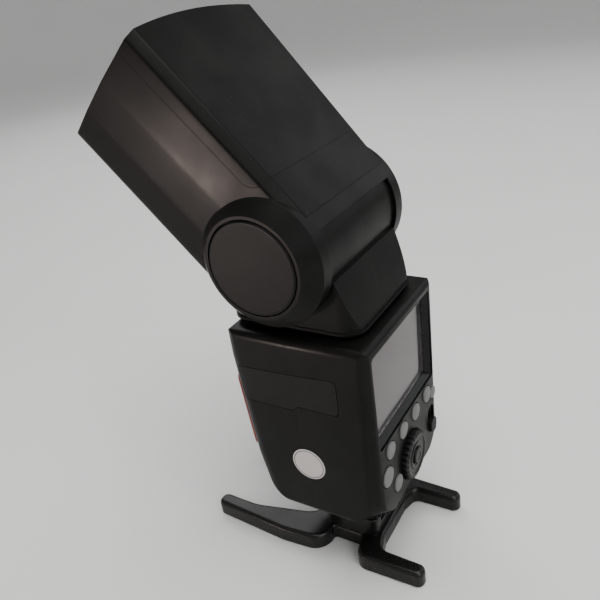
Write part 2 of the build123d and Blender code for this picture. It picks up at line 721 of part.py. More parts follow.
def battery_latch():
    return block((-BODY_HALF_W, -BODY_HALF_W + 2.6), (-25.0, -17.0), LATCH_Z)


def battery_terminals():
    """Three blades on the end wall of the bay that enter the battery."""
    base = block((PACK_INNER_X + 0.8, PACK_INNER_X + 2.2), (-24.2, -17.2), grow((TERMINAL_Z[0], TERMINAL_Z[-1]), 3.0))
    for z in TERMINAL_Z:
        base += block((PACK_INNER_X - 4.5, PACK_INNER_X + 1), (-21.8, -19.6), (z - 0.4, z + 0.4))
    return base


def main_board():
    """Power board behind the battery bay."""
    board = block((-28, 28), (board_y(), board_y() + BOARD_T), (46.0, PACK_Z[1]))
    for x, z in POSTS:
        board -= rod("Y", x, z, POST_R + EASE, board_y() - 1, board_y() + BOARD_T + 1)
    return board


def main_capacitor():
    x, y = CAP_AT
    can = rod("Z", x, y, CAP_R, 46.0, 46.0 + CAP_L)
    return chamfer(can.edges(), 0.8)


def capacitor_clamp():
    """Saddle that ties the capacitor to the power board."""
    x, y = CAP_AT
    saddle = block((x - CAP_R - 1.2, x + CAP_R + 1.2), (board_y() + BOARD_T, y), (58.0, 82.0))
    return saddle - rod("Z", x, y, CAP_R, 50, 90)


def transformer():
    y = board_y() + BOARD_T
    width, depth, height = COIL_SIZE
    core = block((6, 6 + width), (y, y + depth), (50, 50 + height))
    winding = rod("Z", 6 + width / 2, y + depth / 2, depth / 2 + 0.6, 53, 47 + height)
    return core + (winding & block((0, 30), (y, 60), (0, 100)))


def control_board():
    """Board behind the screen and the keys."""
    return block((-28.5, 28.5), (CONTROL_BOARD_Y, CONTROL_BOARD_Y + BOARD_T), (38.0, 112.0)) & body_block(WALL + EASE)


# ------------------------------------------------------------------ swivel
def swivel_base():
    """Collar on top of the case that carries the turning neck."""
    low = BODY_TOP - WALL
    flange = rod("Z", 0, SWIVEL_Y, COLLAR_R, low, BODY_TOP + COLLAR_H)
    return flange - rod("Z", 0, SWIVEL_Y, SPIGOT_R + FIT, low - 1, BODY_TOP + COLLAR_H + 1)


def swivel_spigot():
    """Hollow stem of the neck, down through the collar; the wires to the head pass inside it."""
    stem = rod("Z", 0, SWIVEL_Y, SPIGOT_R, BODY_TOP - WALL - 3.4, NECK_BASE + NECK_WALL)
    flange = rod("Z", 0, SWIVEL_Y, SPIGOT_R + 3.0, NECK_BASE + NECK_WALL, NECK_BASE + NECK_WALL + 2.0)
    bore = rod("Z", 0, SWIVEL_Y, SPIGOT_BORE_R, BODY_TOP - 20, NECK_BASE + 20)
    groove = swivel_clip_ring(SPIGOT_R - 1.0)
    return stem + flange - bore - groove


def swivel_clip_ring(inner):
    low = BODY_TOP - WALL - 2.2
    outer = rod("Z", 0, SWIVEL_Y, SPIGOT_R + 3.4, low, low + 1.2)
    return outer - rod("Z", 0, SWIVEL_Y, inner, low - 1, low + 3)


def swivel_clip():
    """Open spring ring in the stem's groove, under the collar."""
    opening = block((-3, 3), (SWIVEL_Y, SWIVEL_Y + 30), (BODY_TOP - 20, BODY_TOP))
    return swivel_clip_ring(SPIGOT_R - 1.0) - opening


# ------------------------------------------------------------------ neck
NECK_BASE = BODY_TOP + COLLAR_H + GAP


def neck_block(inset):
    """Neck's outer form: a skirt with a sloped back under a barrel about the tilt axis."""
    half = NECK_HALF_W - inset
    skirt = prism(SIDE, [
        (NECK_FRONT + inset, NECK_BASE + inset, 0.6),
        (NECK_REAR - inset, NECK_BASE + inset, 0.6),
        (CREASE_Y - inset, CREASE_Z, 0),
        (TILT_Y, TILT_Z, 0),
        (NECK_FRONT + inset, TILT_Z - 6.0, 0),
    ], -half, half)
    corner = NECK_CORNER_R - inset
    skirt &= prism(Plane.XY, rectangle((-half, half), (NECK_FRONT + inset, NECK_REAR - inset), corner), 100, 160)
    barrel = rod("X", TILT_Y, TILT_Z, BARREL_R - inset, -BARREL_HALF_W + inset, BARREL_HALF_W - inset)
    neck = skirt + barrel
    if inset == 0:
        wide = half + LIP_PROUD
        lip_plan = rectangle((-wide, wide), (NECK_FRONT - LIP_PROUD, NECK_REAR + LIP_PROUD), corner + LIP_PROUD)
        neck += prism(Plane.XY, lip_plan, NECK_BASE, NECK_BASE + LIP_H)
    return neck


def neck_shell():
    shell = neck_block(0) - neck_block(NECK_WALL)
    shell -= rod("Z", 0, SWIVEL_Y, SPIGOT_R, NECK_BASE - 1, NECK_BASE + NECK_WALL)
    shell -= rod("X", TILT_Y, TILT_Z, AXLE_R, -WIDE, WIDE)
    return shell


def neck_half(shell, sign):
    """One side of the neck; the halves meet on the middle plane."""
    return shell & block(sorted((0, sign * WIDE)), (-WIDE, WIDE), (100, 200))


def tilt_axles():
    """Flanged hollow axle in each end of the barrel, which carries the head."""
    inner = BARREL_HALF_W - NECK_WALL
    axle = rod("X", TILT_Y, TILT_Z, AXLE_R, inner - 2, BOSS_END + WASHER_T)
    axle += rod("X", TILT_Y, TILT_Z, AXLE_R + 3, inner - 2, inner)
    axle -= rod("X", TILT_Y, TILT_Z, AXLE_BORE_R, 0, WIDE)
    return both_sides(axle)


def axle_washers():
    """Washer pressed on the outer end of each axle, which keeps the head's cheek on it."""
    washer = rod("X", TILT_Y, TILT_Z, AXLE_R + 3, BOSS_END + GAP, BOSS_END + WASHER_T)
    washer -= rod("X", TILT_Y, TILT_Z, AXLE_R, 0, WIDE)
    return both_sides(washer)


# ------------------------------------------------------------------ head
SKIN_X = CAP_SEAT_HALF_W - CAP_DISC_T       # outer face of the skin under the pivot cap
BOSS_END = SKIN_X - WALL


def head_section(u, inset):
    """Cross-section of the head at a distance ahead of the tilt axis."""
    share = u / HEAD_LEN
    rear = [(29.4, 25.6, 1.5), (32.6, 22.6, 2.0), (34.4, 6.0, 16.0), (34.4, -9.0, 16.0), (32.6, -25.0, 4.0)]
    front = [(33.2, 27.0, 1.5), (36.2, 24.0, 2.0), (38.4, 6.0, 16.0), (38.4, -8.0, 16.0), (37.0, -22.7, 4.0)]
    half = []
    for (x0, v0, radius), (x1, v1, _) in zip(rear, front):
        x = x0 + share * (x1 - x0) - inset
        v = v0 + share * (v1 - v0)
        if abs(v) > 20:
            v -= math.copysign(inset, v)
        half.append((x, v, radius))
    corners = half + [(-x, v, radius) for x, v, radius in reversed(half)]
    points = [(x, v) for x, v, _ in corners]
    radii = [radius for _, _, radius in corners]
    plane = Plane(origin=(0, -u, 0), x_dir=(1, 0, 0), z_dir=(0, -1, 0))
    return plane * make_face(FilletPolyline(*points, radius=radii, close=True))


def front_bow(inset):
    """Everything behind the bowed front of the head."""
    radius = (37.0 ** 2 + HEAD_BULGE ** 2) / (2 * HEAD_BULGE)
    centre_u = HEAD_LEN + HEAD_BULGE - radius
    return rod("Z", 0, -centre_u, radius - inset, -WIDE, WIDE)


def hub(inset):
    """Round rear end about the tilt axis, with a sloping rim round each pivot."""
    half = HUB_HALF_W - inset
    outer = CAP_SEAT_HALF_W - inset
    radius = HUB_R - inset
    small = HUB_SMALL_R - inset / 2
    right = [(outer, 0), (outer, small), (half, radius)]
    left = [(-x, r) for x, r in reversed(right)]
    profile = Polyline(*right, *left, close=True)
    face = make_face(profile)
    return revolve(Plane.XY * face, Axis.X)


def head_form(inset):
    """Outer form of the level head, drawn in by a wall."""
    body = loft([head_section(-28, inset), head_section(90, inset)], ruled=True)
    keep = head_block((-WIDE, WIDE), (0, 95), (-WIDE, WIDE)) + hub(inset)
    return (body & keep & front_bow(inset)) + hub(inset)


def neck_space(air):
    """Room for the neck between the cheeks, over the whole tilt."""
    half = BARREL_HALF_W + air
    radius = BARREL_R + air
    lean = math.radians(LOWEST_TILT)
    ahead = (TILT_Y - NECK_FRONT + LIP_PROUD + air) / math.cos(lean)
    below = prism(HEAD_SIDE, [
        (ahead, 0, 0), (ahead + 32 * math.tan(lean), -32, 0), (-40, -32, 0), (-40, 40, 0), (-6, 40, 0), (-6, 0, 0),
    ], -half, half)
    return below + rod("X", 0, 0, radius, -half, half)


def seam_below():
    """Everything under the line where the upper shell meets the lower one."""
    corners = [(u, v, 0) for u, v in SEAM] + [(95, -50, 0), (-40, -50, 0)]
    return prism(HEAD_SIDE, corners, -WIDE, WIDE)


def cover_region():
    """The part of the head's skin that belongs to the top cover."""
    corners = [
        (COVER_REAR_U, COVER_SIDE_V, COVER_SEAM_R), (COVER_REAR_U, 50, 0),
        (100, 50, 0), (100, COVER_SIDE_V, 0),
    ]
    return prism(HEAD_SIDE, corners, -WIDE, WIDE)


def head_shell():
    """All three skins of the head in one, level, with every opening cut."""
    cavity = head_form(WALL) - neck_space(SLOT_AIR + WALL)
    cavity -= both_sides(rod("X", 0, 0, HUB_SMALL_R, BOSS_END, WIDE))
    shell = head_form(0) - cavity
    boss = rod("X", 0, 0, AXLE_R + 3.4, BARREL_HALF_W + SLOT_AIR + WALL / 2, BOSS_END)
    shell += both_sides(boss)
    shell -= neck_space(SLOT_AIR)
    shell -= rod("X", 0, 0, AXLE_R + FIT, -CAP_SEAT_HALF_W, CAP_SEAT_HALF_W)
    recess = rod("X", 0, 0, CAP_DISC_R + EASE, SKIN_X, WIDE)
    washer_room = rod("X", 0, 0, AXLE_R + 3.0 + GAP, BOSS_END, WIDE)
    shell -= both_sides(recess + washer_room)
    shell -= prism(FRONT, rectangle((-LENS_HALF_W, LENS_HALF_W), LENS_V, 2.0), HEAD_LEN - 6, HEAD_LEN + 10)
    shell -= head_block((-TRAY_HALF_W, TRAY_HALF_W), (HEAD_LEN - 6, HEAD_LEN + 10), TRAY_V)
    inside = head_form(EASE)
    for side, x, u in head_screw_places():
        column = rod("Z", side * x, -u, COLUMN_R, -WIDE, COLUMN_TOP)
        rib_x = sorted((side * x, side * (x + COLUMN_RIB_L)))
        column += head_block(rib_x, (u - COLUMN_RIB_T / 2, u + COLUMN_RIB_T / 2), (-WIDE, COLUMN_TOP))
        shell += column & inside
        shell -= rod("Z", side * x, -u, HEAD_SCREW_R + FIT, -WIDE, HEAD_SCREW_TOP + EASE)
        shell -= rod("Z", side * x, -u, HEAD_SCREW_HEAD_R + EASE, -WIDE, HEAD_SCREW_SEAT)
    return shell


def head_top_cover(shell):
    return to_head(shell & cover_region())


def head_upper_shell(shell):
    return to_head(shell - cover_region() - seam_below())


def head_lower_shell(shell):
    return to_head(shell & seam_below())


def head_screw_places():
    return [(side, x, u) for side in (-1, 1) for x, u in HEAD_SCREWS]


def head_screws():
    screws = []
    for side, x, u in head_screw_places():
        head = rod("Z", side * x, -u, HEAD_SCREW_HEAD_R, HEAD_SCREW_SEAT - HEAD_SCREW_HEAD_H, HEAD_SCREW_SEAT)
        shank = rod("Z", side * x, -u, HEAD_SCREW_R, HEAD_SCREW_SEAT, HEAD_SCREW_TOP)
        screws.append(to_head(head + shank))
    return Compound(children=screws)


def pivot_caps():
    """Round cap over each tilt axle, a little proud of the side."""
    cap = rod("X", 0, 0, CAP_DISC_R, SKIN_X, CAP_SEAT_HALF_W + CAP_PROUD)
    cap = fillet(cap.faces().sort_by(Axis.X)[-1].edges(), 0.6)
    return to_head(both_sides(cap))


def fresnel_lens():
    """Curved front lens behind its lip in the front wall."""
    slab = front_bow(WALL) - front_bow(WALL + LENS_T)
    outline = rectangle(grow((-LENS_HALF_W, LENS_HALF_W), LENS_LIP), grow(LENS_V, LENS_LIP), 2.0)
    return to_head(slab & prism(FRONT, outline, HEAD_LEN - 12, HEAD_LEN + 10))


def panel_guide():
    """Shelf under the sliding panels, carried by the sides of the top cover."""
    low = PANEL_V[0] - EASE - GUIDE_T
    shelf = head_block((-WIDE, WIDE), (PANEL_REAR_U - 3, HEAD_LEN - 3), (low, low + GUIDE_T))
    stop = head_block((-26, 26), (PANEL_REAR_U - 3, PANEL_REAR_U - 1.5), (low, CARD_V[1]))
    return to_head((shelf + stop) & head_form(WALL + EASE) & front_bow(WALL + EASE))


def wide_panel():
    """Clear wide-angle diffuser in the front slot, with a small pull tab."""
    plate = head_block((-PANEL_HALF_W, PANEL_HALF_W), (PANEL_REAR_U, HEAD_LEN + 9), PANEL_V)
    return to_head(plate & front_bow(0.8))


def bounce_card():
    plate = head_block((-CARD_HALF_W, CARD_HALF_W), (PANEL_REAR_U, HEAD_LEN + 9), CARD_V)
    return to_head(plate & front_bow(0.8))


# ------------------------------------------------------------------ zoom drive
def zoom_frame():
    """Tray on the floor of the head with an end wall at each end of the slide rods."""
    low, high = FRAME_FLOOR_V
    floor = head_block((-FRAME_HALF_W, FRAME_HALF_W), FRAME_U, (low, high))
    foot = head_block((-FRAME_HALF_W, FRAME_HALF_W), (FRAME_U[0], FRAME_U[0] + 6), (low - 1.5, low))
    frame = floor + foot
    for u in (FRAME_U[0], FRAME_U[1] - FRAME_END_T):
        frame += head_block((-FRAME_HALF_W, FRAME_HALF_W), (u, u + FRAME_END_T), (high, FRAME_TOP_V))
    ear_u = MOTOR_U[1]
    ear_x = (FRAME_HALF_W - 1, SCREW_X + EAR_HALF_W)
    frame += head_block(ear_x, (ear_u, ear_u + 1.2), (low, FRAME_TOP_V))
    frame += head_block(ear_x, (FRAME_U[1] - FRAME_END_T, FRAME_U[1]), (low, FRAME_TOP_V))
    for x in (-ROD_X, ROD_X):
        frame -= rod("Y", x, ROD_V, ROD_R, -FRAME_U[1] - 1, -FRAME_U[0] + 1)
    return to_head(frame - rod("Y", SCREW_X, ROD_V, SCREW_R + FIT, -FRAME_U[1] - 1, -FRAME_U[0] + 1))


def guide_rods():
    return to_head(both_sides(rod("Y", ROD_X, ROD_V, ROD_R, -FRAME_U[1], -FRAME_U[0])))


def zoom_carriage():
    """Slider on the two rods; its arm rides on the lead screw and its back plate holds the reflector."""
    slider = head_block((-ROD_X - 2.4, ROD_X + 2.4), CARRIAGE_U, (ROD_V - 2.4, ROD_V + 1.6))
    arm = head_block((ROD_X, SCREW_X + EAR_HALF_W), (CARRIAGE_U[0] + 1, CARRIAGE_U[0] + 6), (ROD_V - 2.4, ROD_V + 2.4))
    back = head_block((-12, 12), (REFLECTOR_U[0] - 2.4, REFLECTOR_U[0]), (ROD_V - 2.4, 6))
    bridge = head_block((-12, 12), (REFLECTOR_U[0] - 2.4, CARRIAGE_U[0]), (ROD_V - 2.4, ROD_V + 1))
    carriage = slider + arm + back + bridge
    for x in (-ROD_X, ROD_X):
        carriage -= rod("Y", x, ROD_V, ROD_R + FIT, -WIDE * 2, 0)
    return to_head(carriage - rod("Y", SCREW_X, ROD_V, SCREW_R + FIT, -WIDE * 2, 0))


def reflector_form(inset):
    """Square horn that widens towards the lens."""
    sections = []
    for u, (half_w, half_h) in ((REFLECTOR_U[0], REFLECTOR_REAR), (REFLECTOR_U[1], REFLECTOR_FRONT)):
        plane = Plane(origin=(0, -u, 0), x_dir=(1, 0, 0), z_dir=(0, -1, 0))
        sections.append(plane * RectangleRounded(2 * (half_w - inset), 2 * (half_h - inset), 3.0))
    return loft(sections, ruled=True)


def reflector():
    horn = reflector_form(0) - reflector_form(REFLECTOR_T)
    horn += reflector_form(0) & head_block((-WIDE, WIDE), (REFLECTOR_U[0], REFLECTOR_U[0] + REFLECTOR_T), (-20, 20))
    horn -= rod("X", -REFLECTOR_U[0] - 4.5, 0, TUBE_R + EASE, -WIDE, WIDE)
    return to_head(horn)


def flash_tube():
    """Glass tube across the rear of the reflector, with a metal cap at each end."""
    tube = rod("X", -REFLECTOR_U[0] - 4.5, 0, TUBE_R, -TUBE_HALF_L - 5, TUBE_HALF_L + 5)
    return to_head(tube)


def zoom_screw():
    """Lead screw from the motor to the front wall of the tray."""
    screw = rod("Y", SCREW_X, ROD_V, SCREW_R, -FRAME_U[1], -MOTOR_U[1])
    return to_head(screw)


def zoom_motor():
    motor = rod("Y", SCREW_X, ROD_V, MOTOR_R, -MOTOR_U[1], -MOTOR_U[0])
    return to_head(motor)


# ------------------------------------------------------------------ all pieces
def build():
    case = case_shell()
    neck = neck_shell()
    head = head_shell()
    pieces = {
        "mini_stand": mini_stand(),
        "tripod_insert": tripod_insert(),
        "shoe_spring": shoe_spring(),
        "foot_plate": foot_plate(),
        "foot_contacts": foot_contacts(),
        "lock_ring": lock_ring(),
        "lock_pin": lock_pin(),
        "foot_plinth": foot_plinth(),
        "plinth_screws": plinth_screws(),
        "front_case": front_case(case),
        "rear_case": rear_case(case),
        "assist_window": assist_window(),
        "lcd_bezel": lcd_bezel(),
        "lcd_window": lcd_window(),
        "lcd_panel": lcd_panel(),
        "key_domes": key_domes(),
        "select_dial": select_dial(),
        "set_key": set_key(),
        "power_switch": power_switch(),
        "port_cover": port_cover(),
        "port_block": port_block(),
        "battery_bay": battery_bay(),
        "battery_pack": battery_pack(),
        "battery_latch": battery_latch(),
        "battery_terminals": battery_terminals(),
        "main_board": main_board(),
        "main_capacitor": main_capacitor(),
        "capacitor_clamp": capacitor_clamp(),
        "transformer": transformer(),
        "control_board": control_board(),
        "swivel_base": swivel_base(),
        "swivel_spigot": swivel_spigot(),
        "swivel_clip": swivel_clip(),
        "neck_left": neck_half(neck, -1),
        "neck_right": neck_half(neck, 1),
        "tilt_axles": tilt_axles(),
        "axle_washers": axle_washers(),
        "head_top_cover": head_top_cover(head),
        "head_upper_shell": head_upper_shell(head),
        "head_lower_shell": head_lower_shell(head),
        "head_screws": head_screws(),
        "pivot_caps": pivot_caps(),
        "fresnel_lens": fresnel_lens(),
        "panel_guide": panel_guide(),
        "wide_panel": wide_panel(),
        "bounce_card": bounce_card(),
        "zoom_frame": zoom_frame(),
        "guide_rods": guide_rods(),
        "zoom_carriage": zoom_carriage(),
        "reflector": reflector(),
        "flash_tube": flash_tube(),
        "zoom_screw": zoom_screw(),
        "zoom_motor": zoom_motor(),
    }
    names = ["key_1", "key_2", "key_3", "key_4", "test_key", "mode_key", "lock_key"]
    for name, place in zip(names, key_places()):
        pieces[name] = key(*place)
    return pieces


def main():
    os.makedirs("parts", exist_ok=True)
    for name, piece in build().items():
        export_step(piece, f"parts/{name}.step")


main()
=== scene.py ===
import json
import math

import bmesh
import bpy
import numpy as np
from bpy.props import FloatProperty, FloatVectorProperty, IntProperty, PointerProperty
from mathutils import Matrix, Vector


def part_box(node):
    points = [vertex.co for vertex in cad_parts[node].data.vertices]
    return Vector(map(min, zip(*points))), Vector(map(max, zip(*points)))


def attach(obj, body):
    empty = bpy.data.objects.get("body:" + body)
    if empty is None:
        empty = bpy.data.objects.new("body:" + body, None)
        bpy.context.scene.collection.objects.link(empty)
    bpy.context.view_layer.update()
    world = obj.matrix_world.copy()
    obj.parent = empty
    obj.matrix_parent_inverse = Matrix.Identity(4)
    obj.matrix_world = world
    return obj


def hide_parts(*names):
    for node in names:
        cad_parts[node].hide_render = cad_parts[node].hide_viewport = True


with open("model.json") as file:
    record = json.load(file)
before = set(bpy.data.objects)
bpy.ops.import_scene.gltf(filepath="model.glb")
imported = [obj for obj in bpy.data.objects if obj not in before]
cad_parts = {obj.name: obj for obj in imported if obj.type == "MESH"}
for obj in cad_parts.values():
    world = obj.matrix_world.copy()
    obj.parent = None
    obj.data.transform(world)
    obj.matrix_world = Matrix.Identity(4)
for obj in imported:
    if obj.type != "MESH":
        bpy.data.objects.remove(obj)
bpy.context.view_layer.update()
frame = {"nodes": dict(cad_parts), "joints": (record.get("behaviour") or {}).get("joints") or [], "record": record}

bl_info = {
    "name": "Speedlight flash",
    "version": (1, 0, 0),
    "blender": (4, 5, 0),
    "location": "View3D > Sidebar > Flash",
    "description": "Detailed pieces and finishes for a speedlight flash on its mini stand",
    "category": "Object",
}

# ------------------------------------------------------------------ places, in metres, from the frame
MM = 0.001
TAU = 2 * math.pi
MERGE_WITHIN = 1e-6                         # points nearer than this are one
CUT_EDGE = 30.0                             # degrees between faces past which a CAD edge is cut
TURNED_EDGE = 50.0                          # the same for the pieces made here
X_AXIS = np.array((1.0, 0.0, 0.0))
Y_AXIS = np.array((0.0, 1.0, 0.0))
Z_AXIS = np.array((0.0, 0.0, 1.0))
REAR = (-X_AXIS, Z_AXIS, Y_AXIS)            # right, up and out on the screen side
PORT_SIDE = (Y_AXIS, Z_AXIS, X_AXIS)        # on the side with the port cover
UPWARD = (X_AXIS, Y_AXIS, Z_AXIS)
JOINTS = {joint["name"]: joint for joint in frame["joints"]}
BODY_OF = {
    node: body for body, nodes in frame["record"]["behaviour"]["bodies"].items() for node in nodes
}
SLOT_OF = {row["node"]: row["material_slot"] for row in frame["record"]["subparts"]}
AIM = np.array(JOINTS["zoom_slide"]["axis"])            # the way the head fires
LIFT = np.array((0.0, AIM[2], -AIM[1]))                 # up from the raised head's top
TILT_AXIS = np.array(JOINTS["head_tilt"]["pos_m"])


def low(node):
    return np.array(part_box(node)[0])


def high(node):
    return np.array(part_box(node)[1])


def middle(node):
    return (low(node) + high(node)) / 2


# ------------------------------------------------------------------ settings
class FlashShellSettings(bpy.types.PropertyGroup):
    """Moulded black shells of the case, neck, head and stand."""
    colour: FloatVectorProperty(
        name="Shell colour", description="Colour of the moulded black shells",
        subtype="COLOR", size=3, min=0.0, max=1.0, default=(0.0095, 0.0094, 0.0091))
    sheen_colour: FloatVectorProperty(
        name="Worn colour", description="Slightly lighter tone that handling leaves in soft patches",
        subtype="COLOR", size=3, min=0.0, max=1.0, default=(0.0150, 0.0146, 0.0140))
    roughness: FloatProperty(
        name="Roughness", description="How matt the shells are", subtype="FACTOR",
        min=0.0, max=1.0, default=0.36)
    grain: FloatProperty(
        name="Grain size", description="Distance between the moulded texture's bumps",
        unit="LENGTH", min=0.0001, max=0.005, default=0.0004)
    edge: FloatProperty(
        name="Edge softening", description="Width of the rounding that the finishes give every cut edge",
        unit="LENGTH", min=0.0, max=0.002, default=0.00028)


class FlashControlSettings(bpy.types.PropertyGroup):
    """Keys, dial and lock ring."""
    key_colour: FloatVectorProperty(
        name="Key colour", description="Colour of the light grey keys",
        subtype="COLOR", size=3, min=0.0, max=1.0, default=(0.180, 0.182, 0.180))
    key_crown: FloatProperty(
        name="Key crown", description="How far the middle of a key stands above its rim",
        unit="LENGTH", min=0.0, max=0.002, default=0.00055)
    dial_ribs: IntProperty(
        name="Dial ribs", description="Grips round the edge of the dial", min=8, max=60, default=26)
    ring_ribs: IntProperty(
        name="Ring ribs", description="Grips round the lock ring", min=20, max=120, default=60)


class FlashScreenSettings(bpy.types.PropertyGroup):
    """Rear screen."""
    colour: FloatVectorProperty(
        name="Screen colour", description="Colour of the unlit liquid-crystal panel",
        subtype="COLOR", size=3, min=0.0, max=1.0, default=(0.075, 0.076, 0.080))
    film: FloatProperty(
        name="Film thickness", description="Thickness in nanometres of the film that gives a faint rainbow",
        min=0.0, max=2000.0, default=420.0)


class FlashHeadSettings(bpy.types.PropertyGroup):
    """Stepped lens of the head."""
    lens_pitch: FloatProperty(
        name="Lens pitch", description="Distance between the rings of the stepped lens",
        unit="LENGTH", min=0.0003, max=0.005, default=0.0011)
    lens_step: FloatProperty(
        name="Lens step", description="Depth of each ring of the lens",
        unit="LENGTH", min=0.0, max=0.001, default=0.00032)


class FlashStageSettings(bpy.types.PropertyGroup):
    """Floor and light."""
    floor_colour: FloatVectorProperty(
        name="Floor colour", description="Colour of the pale floor and backdrop",
        subtype="COLOR", size=3, min=0.0, max=1.0, default=(0.80, 0.80, 0.795))
    light_power: FloatProperty(
        name="Light power", description="Scales every lamp of the stage", subtype="FACTOR",
        min=0.0, max=5.0, default=1.0)


# ------------------------------------------------------------------ node groups
def group_tree(name, inputs, outputs):
    """Empty shader node group with named sockets."""
    tree = bpy.data.node_groups.new(name, "ShaderNodeTree")
    for label, kind, value in inputs:
        socket = tree.interface.new_socket(name=label, in_out="INPUT", socket_type=kind)
        if value is not None:
            socket.default_value = value
    for label, kind in outputs:
        tree.interface.new_socket(name=label, in_out="OUTPUT", socket_type=kind)
    return tree, tree.nodes.new("NodeGroupInput"), tree.nodes.new("NodeGroupOutput")


def add_node(tree, kind, settings=None, **links):
    """New node; links name its inputs, with the socket or value that each takes."""
    node = tree.nodes.new(kind)
    for label, value in (settings or {}).items():
        setattr(node, label, value)
    for label, value in links.items():
        numbered = label[0] == "i" and label[1:].isdigit()
        socket = node.inputs[int(label[1:]) if numbered else label]
        if isinstance(value, bpy.types.NodeSocket):
            tree.links.new(value, socket)
        else:
            socket.default_value = value
    return node


def spread(tree, value, from_low, from_high, to_low, to_high):
    """Carries a value from one range to another, held at its ends."""
    node = add_node(tree, "ShaderNodeMapRange", {"clamp": True})
    for socket, source in zip(node.inputs, (value, from_low, from_high, to_low, to_high)):
        if isinstance(source, bpy.types.NodeSocket):
            tree.links.new(source, socket)
        else:
            socket.default_value = source
    return node.outputs["Result"]


def per_size(tree, size):
    """Noise scale that gives patches of a size in metres."""
    return add_node(tree, "ShaderNodeMath", {"operation": "DIVIDE"}, i0=1.0, i1=size).outputs[0]


def noise(tree, where, scale, detail, rough=0.5):
    node = add_node(tree, "ShaderNodeTexNoise", None, Scale=scale, Detail=detail, Roughness=rough)
    tree.links.new(where, node.inputs["Vector"])
    return node.outputs["Fac"]


def mixed(tree, factor, first, second):
    node = add_node(tree, "ShaderNodeMix", {"data_type": "RGBA"})
    tree.links.new(factor, node.inputs["Factor"])
    a, b = [s for s in node.inputs if s.type == "RGBA"]
    tree.links.new(first, a)
    tree.links.new(second, b)
    return [s for s in node.outputs if s.type == "RGBA"][0]


def moulded_group():
    """Moulded plastic: soft patches of two tones and two degrees of gloss over a fine even grain."""
    tree, given, result = group_tree(
        "moulded_grain",
        [("Tone", "NodeSocketColor", None), ("Worn Tone", "NodeSocketColor", None),
         ("Roughness", "NodeSocketFloat", 0.4), ("Patchiness", "NodeSocketFloat", 0.06),
         ("Grain Size", "NodeSocketFloat", 0.0004), ("Grain Depth", "NodeSocketFloat", 0.2),
         ("Normal", "NodeSocketVector", None)],
        [("Color", "NodeSocketColor"), ("Roughness", "NodeSocketFloat"), ("Normal", "NodeSocketVector")])
    where = add_node(tree, "ShaderNodeTexCoord").outputs["Object"]
    patches = noise(tree, where, 46.0, 3.0)
    grain_scale = per_size(tree, given.outputs["Grain Size"])
    grain = noise(tree, where, grain_scale, 2.0)
    patch_mask = spread(tree, patches, 0.42, 0.72, 0.0, 1.0)
    tone = mixed(tree, patch_mask, given.outputs["Tone"], given.outputs["Worn Tone"])
    tree.links.new(tone, result.inputs["Color"])
    lower = add_node(tree, "ShaderNodeMath", {"operation": "SUBTRACT"},
                     i0=given.outputs["Roughness"], i1=given.outputs["Patchiness"]).outputs[0]
    upper = add_node(tree, "ShaderNodeMath", {"operation": "ADD"},
                     i0=given.outputs["Roughness"], i1=given.outputs["Patchiness"]).outputs[0]
    both = add_node(tree, "ShaderNodeMath", {"operation": "MULTIPLY_ADD"},
                    i0=grain, i1=0.3, i2=patches).outputs[0]
    tree.links.new(spread(tree, both, 0.45, 0.85, upper, lower), result.inputs["Roughness"])
    bump = add_node(tree, "ShaderNodeBump", None, Strength=given.outputs["Grain Depth"], Distance=0.00005,
                    Height=grain, Normal=given.outputs["Normal"])
    tree.links.new(bump.outputs["Normal"], result.inputs["Normal"])
    return tree


def dust_group():
    """Sparse specks of dust on upward faces: thresholded fine noise times how level the face is."""
    tree, given, result = group_tree(
        "settled_dust",
        [("Amount", "NodeSocketFloat", 0.3), ("Speck Size", "NodeSocketFloat", 0.0005)],
        [("Mask", "NodeSocketFloat")])
    where = add_node(tree, "ShaderNodeTexCoord").outputs["Object"]
    specks = noise(tree, where, per_size(tree, given.outputs["Speck Size"]), 1.0)
    clusters = noise(tree, where, 60.0, 2.0)
    facing = add_node(tree, "ShaderNodeSeparateXYZ", None,
                      Vector=add_node(tree, "ShaderNodeNewGeometry").outputs["Normal"]).outputs["Z"]
    speck_mask = spread(tree, specks, 0.70, 0.76, 0.0, 1.0)
    cluster_mask = spread(tree, clusters, 0.40, 0.65, 0.1, 1.0)
    level = spread(tree, facing, 0.0, 0.9, 0.15, 1.0)
    product = speck_mask
    for factor in (cluster_mask, level, given.outputs["Amount"]):
        times = add_node(tree, "ShaderNodeMath", {"operation": "MULTIPLY"}, i0=product, i1=factor)
        product = times.outputs[0]
    tree.links.new(product, result.inputs["Mask"])
    return tree


